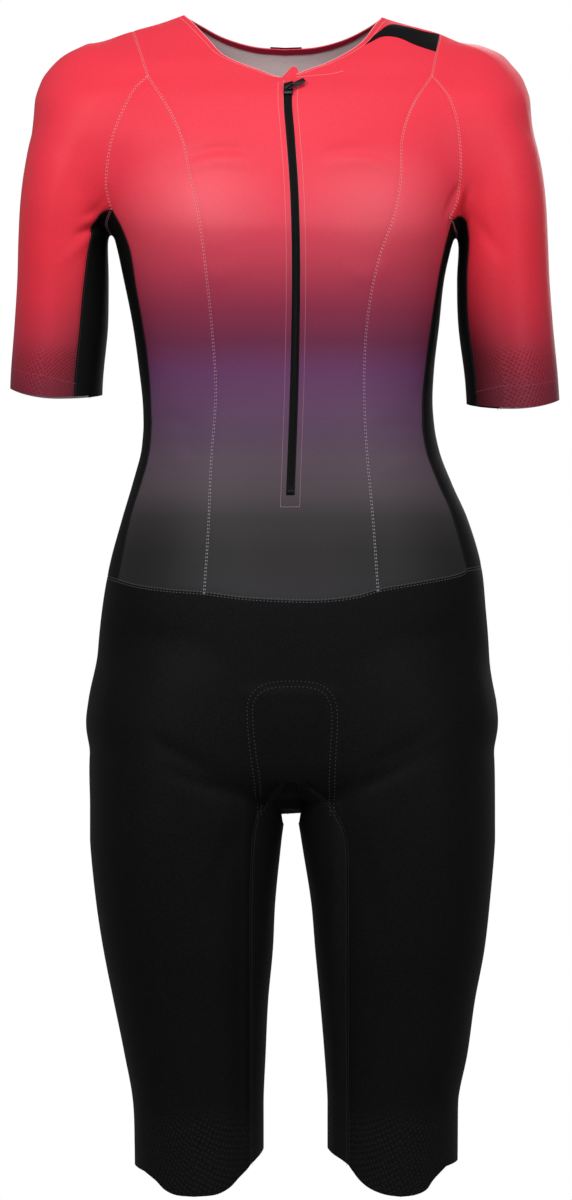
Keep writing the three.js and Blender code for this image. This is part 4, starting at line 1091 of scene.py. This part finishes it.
# Enamelled die-cast zip metal: dark lacquer with fine orange peel
def enamel(name, code):
    made, tree = newMaterial(name)
    colour, peel = mottled(tree, code, 1200.0, 1.0, 0.8)
    normal = bumped(tree, peel, 0.1, 0.00004)
    return surface(made, Base_Color=colour, Metallic=0.6, Roughness=0.25, Normal=normal)


torsoFade = [
    (10, "#f03a4b"), (-96, "#f03b4d"), (-148, "#ee3f52"), (-174, "#e24558"), (-200, "#ce4356"),
    (-226, "#b43b52"), (-251, "#91334d"), (-277, "#74314e"), (-303, "#6b3d66"), (-329, "#664364"),
    (-355, "#5d455d"), (-381, "#5a4a57"), (-407, "#51474d"), (-432, "#3a3739"), (-458, "#323031"),
    (-500, "#333134"),
]
sleeveFade = [
    (10, "#f03a4b"), (-110, "#f0394b"), (-150, "#f03849"), (-194, "#ea3243"), (-238, "#db3142"),
    (-264, "#c42f42"), (-282, "#aa2c3e"), (-299, "#98283a"), (-318, "#82283a"), (-340, "#7c2636"),
]
materials = {
    "torso": fadedKnit("sublimatedKnitTorso", torsoFade, -520, 20, torsoHighlightAndShade),
    "sleeve": fadedKnit("sublimatedKnitSleeve", sleeveFade, -345, 20, cuffPaintedShade, True),
    "black": blackKnit("compressionKnitBlack", "#070606", 0.6, True),
    "mesh": blackKnit("stretchMeshBlack", "#080808", 0.65),
    "inner": blackKnit("legMeshBlack", "#0f0e0f", 0.65),
    "tape": blackKnit("wovenTapeBlack", "#0c0b0c", 0.6),
    "binding": fadedKnit("foldedBindingCrimson", [(20, "#b3243e"), (-60, "#a11f38")], -60, 20),
    "paleThread": thread("polyesterThreadPale", [
        (10, "#f9a6a8"), (-200, "#f2a3aa"), (-260, "#d08fa4"), (-330, "#b79cb9"), (-420, "#b3a8b2"),
        (-500, "#b0abae"),
    ]),
    "darkThread": thread("polyesterThreadDark", [(0, "#1f1e1f"), (-500, "#1d1c1d")]),
    "tab": blackKnit("neckTapeBlack", "#040404", 0.8),
    "coil": nylon("nylonCoilBlack", "#080809", 0.4, 0.25),
    "enamel": enamel("enamelledZincBlack", "#17171a"),
    "puller": nylon("nylonPullBlack", "#0a0a0b", 0.3, 0.25),
    "lining": fadedKnit("unprintedKnitInner", [(20, "#ffe9ea"), (-520, "#e6d3d6")], -520, 20),
    "strip": blackKnit("bondedStripBlack", "#0c0b0c", 0.5),
    "pad": blackKnit("padFaceKnit", "#232226", 0.7),
    "greyThread": thread("polyesterThreadGrey", [(0, "#6a666a"), (-500, "#605c60")]),
    "zipThread": thread("polyesterThreadZip", [
        (10, "#f9a0a2"), (-220, "#e58a94"), (-300, "#b07a90"), (-400, "#b08590"), (-500, "#bd8a8c"),
    ]),
    # Neck edge cord: a rolled edge, its light pink a painted highlight along the fold
    "edgeCordHighlight": thread("edgeCordPaintedHighlight", [(10, "#ff9fa6"), (-500, "#ff9fa6")]),
    "padThread": thread("polyesterThreadPad", [(0, "#383638"), (-500, "#363436")]),
    "cuffThread": thread("polyesterThreadCuff", [(0, "#b34a5c"), (-500, "#a4465a")]),
}

# Panels: slot, look, and the flat cut as width, length and area in metres
clothPieces = {
    "front_centre": ("red_knit", "torso", (0.27, 0.49, 0.073)),
    "back_panel": ("red_knit", "torso", (0.33, 0.49, 0.124)),
    "front_side_right": ("red_knit", "torso", (0.09, 0.43, 0.030)),
    "front_side_left": ("red_knit", "torso", (0.09, 0.43, 0.027)),
    "sleeve_right": ("red_knit", "sleeve", (0.26, 0.31, 0.062)),
    "sleeve_left": ("red_knit", "sleeve", (0.26, 0.31, 0.062)),
    "side_panel_right": ("black_knit", "mesh", (0.12, 0.30, 0.029)),
    "side_panel_left": ("black_knit", "mesh", (0.12, 0.30, 0.029)),
    "sleeve_underarm_right": ("black_knit", "mesh", (0.10, 0.16, 0.012)),
    "sleeve_underarm_left": ("black_knit", "mesh", (0.10, 0.16, 0.013)),
    "shorts_front": ("black_knit", "black", (0.62, 0.53, 0.241)),
    "crotch_gusset": ("black_knit", "black", (0.06, 0.12, 0.0037)),
    "shorts_back_right": ("black_knit", "black", (0.17, 0.52, 0.057)),
    "shorts_back_left": ("black_knit", "black", (0.17, 0.52, 0.059)),
    "inner_leg_right": ("black_knit", "inner", (0.15, 0.33, 0.036)),
    "inner_leg_left": ("black_knit", "inner", (0.15, 0.33, 0.039)),
}
for name, (slotName, look, (wide, long, area)) in clothPieces.items():
    looks = [look, "lining"] if slotName == "red_knit" else [look]
    cloth = shell("cloth_" + name, name, panels[name], looks)
tape = [tapeGrid[:-max(1, tall // 5)]]
shell("cloth_zip_tape", "zip_tape", tape, ["tape"], outer=-0.3, wall=0.6)
stageDone("cloth")

# Binding folded over the inside of the neck edge
binding = {"width": 6, "columns": 6, "outer": -1.0, "wall": 0.7}


def neckRun(s):
    top = s["front"][cells["torso"]:]
    edge = np.vstack([top[:, 0], s["backInner"][-1, 1:-1]])[tall // 2:]
    low = np.vstack([top[:, fine], s["backInner"][-1 - tall, 1:-1]])[tall // 2:]
    return edge, low


right, left = neckRun(sides["right"]), neckRun(sides["left"])
edge = np.vstack([right[0], backCentre[-1:], left[0][::-1]])
low = np.vstack([right[1], backCentre[-1 - tall:][:1], left[1][::-1]])
low = edge + unit(low - edge) * binding["width"]
share = np.linspace(0, 1, binding["columns"])[None, :, None]
band = [toSurface(lerp(edge[:, None], low[:, None], share))]
shell("neck_binding_fold", "neck_binding", band, ["binding"], binding["outer"], binding["wall"])

# Hanging tab at the back of the neck, folded a little over the edge
neckTab = {"half": 14, "above": 0.9, "below": 15.5, "outer": 0.6, "wall": 0.6}
nape = np.vstack([sides["right"]["nape"][::-1], sides["left"]["nape"][1:]])
x = np.linspace(-neckTab["half"], neckTab["half"], 15)
napeTop = np.interp(x, nape[:, 0], nape[:, 2])
drops = np.linspace(-neckTab["above"], neckTab["below"], 12)
tab = np.stack([seenFrom("back", x, np.minimum(napeTop - drop, napeTop - 0.2)) for drop in drops])
tab[..., 2] = napeTop[None] - drops[:, None]
shell("neck_tab_tape", "back_neck_tab", [tab], ["tab"], neckTab["outer"], neckTab["wall"])


# Strip over the left shoulder: columns of the front panel, and how many rows its lower and
# upper edge lie below the shoulder seam
def panelPoint(grid, row, column):
    j = np.clip(row.astype(int), 0, len(grid) - 2)
    i = np.clip(column.astype(int), 0, grid.shape[1] - 2)
    a, b = (row - j)[:, None], (column - i)[:, None]
    return lerp(lerp(grid[j, i], grid[j, i + 1], b), lerp(grid[j + 1, i], grid[j + 1, i + 1], b), a)


strip = {
    "edges": [(0.35, 1.8, 1.2), (0.85, 1.2, 0.42), (1.8, 1.1, 0.26), (3, 1.6, 0.24), (3.95, 2.2, 0.15)],
    "outer": 0.75, "wall": 0.7,
}
edges = readAt(curveThrough(strip["edges"], 8), np.linspace(0, 1, 8 * fine))
column, lowRow, highRow = edges.T
grid = sides["left"]["front"]
rows = [lerp(lowRow, highRow, t) for t in np.linspace(0, 1, 2 * fine)]
stripGrid = np.stack([panelPoint(grid, len(grid) - 1 - row * tall, column * fine) for row in rows])
stripGrid = [toSurface(stripGrid)]
shell(
    "shoulder_strip_print", "shoulder_strip", stripGrid, ["strip"], strip["outer"],
    strip["wall"],
)


# Rows of points as a finer grid, smooth along its columns and, where asked, along its rows
def finer(rows, down, across, smoothRows):
    rows = np.array(rows, float)
    columns = [readAt(curveThrough(rows[:, k]), np.linspace(0, 1, down)) for k in range(rows.shape[1])]
    shares = np.linspace(0, 1, across)
    rows = np.stack(columns, axis=1)
    return np.stack([readAt(curveThrough(row) if smoothRows else row, shares) for row in rows])


# Red guard behind the head of the zip: three rows of the top, and a tip that folds over
guard = {"tip": [(-3.2, -46.5), (5.5, -36.5), (9.5, -37.5)], "reach": 0.18, "outer": -1.2, "wall": 0.8}
rows = []
for down in (2, 1, 0):
    j = cells["torso"] - down * tall
    front = sides["left"]["front"][j]
    rows.append([slot["right"][j], slot["left"][j], lerp(front[0], front[fine], guard["reach"])])
tip = np.array(guard["tip"])
rows.append(seenFrom("front", tip[:, 0], tip[:, 1]))
guardGrid = [toSurface(finer(rows, 6 * fine, 2 * fine, False))]
shell("zip_guard_cloth", "zip_guard", guardGrid, ["torso"], guard["outer"], guard["wall"])

# Seat pad: foam under a face cloth, thin at its edge, with two grooves along it. Rows are z and
# half width in front and behind, and y, z and half width under the crotch
pad = {
    "front": [(-577, 22), (-586, 34), (-604, 37), (-636, 34), (-654, 28)],
    "under": [(-62, -662, 20), (-32, -664, 16), (6, -665, 16), (44, -663, 18)],
    "back": [(-642, 30), (-622, 40), (-600, 50), (-575, 44), (-562, 26)],
    "outer": -2.2, "edge": 1.2, "swell": 4.2, "slope": 9, "grooves": 11, "grooveWidth": 1.8,
}
across = np.linspace(-1, 1, 5)


def levelRow(side, z, half):
    return seenFrom(side, padMiddle + half * across, np.full(5, z))


rows = [levelRow("front", z, half) for z, half in pad["front"]]
rows += [np.stack([padMiddle + h * across, np.full(5, y), np.full(5, z)], axis=1) for y, z, h in pad["under"]]
rows += [levelRow("back", z, half) for z, half in pad["back"]]
padGrid = finer(rows, 14 * fine, 6 * fine, True)
padEdge = np.vstack([padGrid[0], padGrid[:, -1], padGrid[-1], padGrid[:, 0]])


def padThick(points):
    least = np.min(np.linalg.norm(points[:, None] - padEdge[None], axis=2), axis=1)
    groove = np.exp(-((np.abs(points[:, 0] - padMiddle) - pad["grooves"]) / pad["grooveWidth"]) ** 2)
    thick = pad["edge"] + pad["swell"] * smoothStep(0, pad["slope"], least) * (1 - 0.5 * groove)
    return thick[:, None]


foam = shell("seat_pad_foam", "seat_pad", [padGrid], ["pad"], pad["outer"], padThick)
stageDone("trims")


# What repeats along runs: each item has its length along the run and its thickness out of the cloth
def meshOf(name, runs):
    mesh = bpy.data.meshes.new(name)
    points = np.vstack([p for p, _ in runs])
    outs = np.vstack([n for _, n in runs])
    edges = []
    count = 0
    for p, _ in runs:
        edges += [(count + k, count + k + 1) for k in range(len(p) - 1)]
        count += len(p)
    mesh.from_pydata((points * mm).tolist(), edges, [])
    layer = mesh.attributes.new("out", "FLOAT_VECTOR", "POINT")
    layer.data.foreach_set("vector", outs.astype(np.float32).reshape(-1))
    return mesh


# Small rounded items along runs, by Geometry Nodes
def repeated(name, runs, pitch, size, look, rings=(6, 4)):
    made = bpy.data.objects.new(name, meshOf(name, runs))
    scene.collection.objects.link(made)
    tree = bpy.data.node_groups.new(name, "GeometryNodeTree")
    face = tree.interface
    face.new_socket("Geometry", in_out="INPUT", socket_type="NodeSocketGeometry")
    pitchSocket = face.new_socket("Pitch", in_out="INPUT", socket_type="NodeSocketFloat")
    sizeSocket = face.new_socket("Size", in_out="INPUT", socket_type="NodeSocketVector")
    face.new_socket("Geometry", in_out="OUTPUT", socket_type="NodeSocketGeometry")
    source = node(tree, "NodeGroupInput").outputs
    curve = node(tree, "GeometryNodeMeshToCurve", Mesh=source["Geometry"]).outputs
    spread = node(
        tree, "GeometryNodeCurveToPoints", {"mode": "LENGTH"}, Curve=curve["Curve"], Length=source["Pitch"],
    ).outputs
    out = node(tree, "GeometryNodeInputNamedAttribute", {"data_type": "FLOAT_VECTOR"}, Name="out").outputs
    turn = node(
        tree, "FunctionNodeAlignRotationToVector", {"axis": "X", "pivot_axis": "Z"},
        Rotation=spread["Rotation"], Vector=out["Attribute"],
    ).outputs
    item = node(
        tree, "GeometryNodeMeshUVSphere", Segments=rings[0], Rings=rings[1], Radius=0.5,
    ).outputs
    place = node(
        tree, "GeometryNodeInstanceOnPoints", Points=spread["Points"], Instance=item["Mesh"],
        Rotation=turn["Rotation"], Scale=source["Size"],
    ).outputs
    real = node(tree, "GeometryNodeRealizeInstances", Geometry=place["Instances"]).outputs
    smooth = node(tree, "GeometryNodeSetShadeSmooth", Geometry=real["Geometry"]).outputs
    paint = node(
        tree, "GeometryNodeSetMaterial", Geometry=smooth["Geometry"], Material=materials[look],
    ).outputs
    node(tree, "NodeGroupOutput", Geometry=paint["Geometry"])
    modifier = made.modifiers.new("repeat", "NODES")
    modifier.node_group = tree
    modifier[pitchSocket.identifier] = pitch * mm
    modifier[sizeSocket.identifier] = [v * mm for v in size]
    bpy.context.view_layer.update()
    shown = made.evaluated_get(bpy.context.evaluated_depsgraph_get())
    result = bpy.data.meshes.new_from_object(shown)
    made.modifiers.clear()
    made.data = result
    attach(made, "suit")
    return made


# A run laid on the cloth's outer face, with its normals
def onCloth(p, aside=0.0, height=0.12):
    p = p[np.concatenate([[True], np.linalg.norm(np.diff(p, axis=0), axis=1) > 0.01])]
    n = normalAt(p)
    if aside:
        along = unit(np.gradient(p, axis=0))
        p = toSurface(p + unit(np.cross(n, along)) * aside, 6)
        n = normalAt(p)
    return p + n * (lifted(p, n) + height)[:, None], n


def twoRows(runs, aside):
    return [onCloth(run, shift) for run in runs for shift in (-aside, aside)]


def seamsOf(keys):
    return [s[key] for key in keys for s in sides.values()]


def frontRun(rows, steps=60):
    q = readAt(curveThrough(rows, 12), np.linspace(0, 1, steps))
    return seenFrom("front", q[:, 0], q[:, 1])


def hemRow(grid, up):
    return grid[int(np.argmin(np.abs(runAlong(grid[:, 0]) - up)))]


# Zip topstitching: a row on each side, closed below the stop, and a bar beside the head
zipAside = np.array([4.6, 0, 0])
zipRight, zipLeft = slot["right"] - zipAside, slot["left"] + zipAside
foot = footRow - tall // 3
zipBox = toSurface(np.vstack([zipRight[foot:-2][::-1], zipLeft[foot:-2]]))
headBar = frontRun([(10, -47.5), (24, -46), (38, -44.5), (49, -42)])

# Neckline: a rolled edge, drawn as a light pink cord whose colour is a painted highlight along the fold, and
# a row of stitching below it
neckInset = 5
neckEdges = [s["neck"][2:] for s in sides.values()]
neckRows = []
for s in sides.values():
    edge, low = s["front"][cells["torso"]:, 0], s["front"][cells["torso"]:, fine]
    neckRows.append(toSurface(edge + unit(low - edge) * neckInset))

# Pad stitching on the front, the arch above the crotch, and topstitching above the cuffs
padBand = frontRun([
    (-24, -688), (-25, -660), (-29, -630), (-31, -604), (-30, -589), (-21, -578), (4, -574),
    (31, -578), (40, -589), (42, -604), (41, -630), (40, -660), (41, -688),
], 160)
padArch = frontRun([
    (-20, -684), (-12, -671), (-4, -664.5), (5, -662), (18, -663), (27, -671), (33, -680),
], 40)
cuffs = [hemRow(s["sleeve"], 13) for s in sides.values()]

# Stitch sizes: across the run, out of the cloth, along the run
dash = (0.36, 0.6, 1.9)
dot = (0.45, 1.0, 1.3)
roll = (0.5, 0.9, 1.7)
shortRuns = seamsOf(shortSeams) + [seatRise]
# Name, runs, pitch, stitch, look, slot
for name, runs, pitch, size, look, slotName in (
    ("stitches_red_seams", twoRows(seamsOf(redSeams), 0.65), 3.1, dash, "paleThread", "red_knit"),
    ("stitches_side_seams", twoRows(seamsOf(sideSeams), 1.4), 2.3, dash, "darkThread", "black_knit"),
    ("stitches_shorts", twoRows(shortRuns, 1.4), 2.3, dash, "darkThread", "black_knit"),
    ("stitches_waist", twoRows(seamsOf(["waist"]), 1.1), 3.1, dash, "greyThread", "red_knit"),
    ("stitches_zip", [onCloth(zipBox), onCloth(headBar)], 2.2, dash, "zipThread", "red_knit"),
    ("neck_edge_highlight_cord", [onCloth(p, 0, -0.1) for p in neckEdges], 1.1, roll, "edgeCordHighlight", "red_knit"),
    ("stitches_neck", [onCloth(p) for p in neckRows], 2.2, dash, "zipThread", "red_knit"),
    ("stitches_pad", twoRows([padBand], 2.4), 3.4, dot, "padThread", "black_knit"),
    ("stitches_arch", [onCloth(padArch)], 2.6, dash, "darkThread", "black_knit"),
    ("stitches_cuffs", [onCloth(p) for p in cuffs], 2.6, dash, "cuffThread", "red_knit"),
):
    repeated(name, runs, pitch, size, look)
stageDone("stitches")

# Coil of the zip: teeth from both tapes in turn, over a woven core
coil = {"pitch": 1.3, "aside": 0.75, "height": 0.9, "tooth": (1.0, 2.1, 0.85)}
tapeMiddle = tapeGrid.mean(1)
n = normalAt(tapeMiddle)
span = slice(int(0.25 * tall) + 1, len(tapeMiddle) - tall // 2)
acrossTape = unit(tapeGrid[:, 1] - tapeGrid[:, 0])[span]
rise = n[span] * (coil["height"] + lifted(tapeMiddle, n)[span])[:, None]
coilRuns = []
for aside, start in ((-coil["aside"], 0.0), (coil["aside"], 0.5)):
    p = tapeMiddle[span] + acrossTape * aside + rise
    p[0] = p[0] + (p[1] - p[0]) * start * coil["pitch"] / max(np.linalg.norm(p[1] - p[0]), 1e-6)
    coilRuns.append((p, n[span]))
teeth = repeated("zip_coil_teeth", coilRuns, coil["pitch"], coil["tooth"], "coil", (8, 6))
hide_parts("zip_chain")


# Hardware: the solids with rounded edges
def rounded(nodeName, newName, width, look, slotName, body):
    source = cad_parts[nodeName]
    mesh = source.data.copy()
    mesh.name = newName
    mesh.transform(source.matrix_world)
    work = bmesh.new()
    work.from_mesh(mesh)
    bmesh.ops.remove_doubles(work, verts=work.verts, dist=1e-6)
    bmesh.ops.dissolve_limit(work, angle_limit=math.radians(2), verts=work.verts, edges=work.edges)
    inner = [e for e in work.edges if len(e.link_faces) == 2]
    sharp = [e for e in inner if e.calc_face_angle() > math.radians(35)]
    bmesh.ops.bevel(
        work, geom=sharp, offset=width * mm, segments=3, profile=0.5, affect="EDGES", clamp_overlap=True,
    )
    work.to_mesh(mesh)
    work.free()
    mesh.materials.clear()
    mesh.materials.append(materials[look])
    mesh.shade_smooth()
    mesh.set_sharp_from_angle(angle=math.radians(40))
    made = bpy.data.objects.new(newName, mesh)
    scene.collection.objects.link(made)
    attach(made, body)
    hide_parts(nodeName)


rounded("zip_slider", "slider_body", 0.6, "enamel", "slider", "suit")
rounded("zip_slider_arch", "slider_arch", 0.3, "enamel", "slider", "suit")
rounded("zip_stop", "bottom_stop", 0.4, "enamel", "slider", "suit")
rounded("zip_pull", "pull_tab", 0.25, "puller", "coil", "zip_pull")
stageDone("zip")

# Camera and light
camera = bpy.data.objects.new("camera", bpy.data.cameras.new("camera"))
scene.collection.objects.link(camera)
away, viewHeight, sensor = 5, 1.056, 24
camera.location = (0, -away, -0.5016)
camera.rotation_euler = (math.pi / 2, 0, 0)
camera.data.sensor_fit = "VERTICAL"
camera.data.sensor_height = sensor
camera.data.lens = sensor * away / viewHeight
scene.camera = camera


def areaLight(name, place, aim, size, power):
    data = bpy.data.lights.new(name, "AREA")
    data.shape = "RECTANGLE"
    data.size, data.size_y = size
    data.energy = power
    lamp = bpy.data.objects.new(name, data)
    lamp.location = place
    lamp.rotation_euler = (Vector(aim) - Vector(place)).to_track_quat("-Z", "Y").to_euler()
    scene.collection.objects.link(lamp)


areaLight("key", (-1.3, -2.6, 1.1), (0, 0, -0.4), (1.2, 1.2), 43)
areaLight("fill", (1.7, -2.6, 0.4), (0, 0, -0.5), (1.4, 2.0), 26)
areaLight("top", (0, -1.7, 2.0), (0, 0, -0.2), (1.4, 0.7), 21)
areaLight("back", (0.6, 2.6, 0.8), (0, 0, -0.4), (2.0, 2.0), 34)

# Soft studio surroundings, seen by the camera as a white ground
world = bpy.data.worlds.new("studio")
world.use_nodes = True
scene.world = world
scene.view_settings.view_transform = "Standard"
tree = world.node_tree
ambient = tree.nodes["Background"]
ambient.inputs["Color"].default_value = (1, 1, 1, 1)
ambient.inputs["Strength"].default_value = 0.25
ground = node(tree, "ShaderNodeBackground", Color=(1, 1, 1, 1), Strength=1.0)
path = tree.nodes.new("ShaderNodeLightPath")
choose = node(tree, "ShaderNodeMixShader", Fac=path.outputs["Is Camera Ray"])
tree.links.new(ambient.outputs[0], choose.inputs[1])
tree.links.new(ground.outputs[0], choose.inputs[2])
tree.links.new(choose.outputs[0], tree.nodes["World Output"].inputs["Surface"])

size = {"cad": cadBox, "visual": [list(corner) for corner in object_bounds()]}
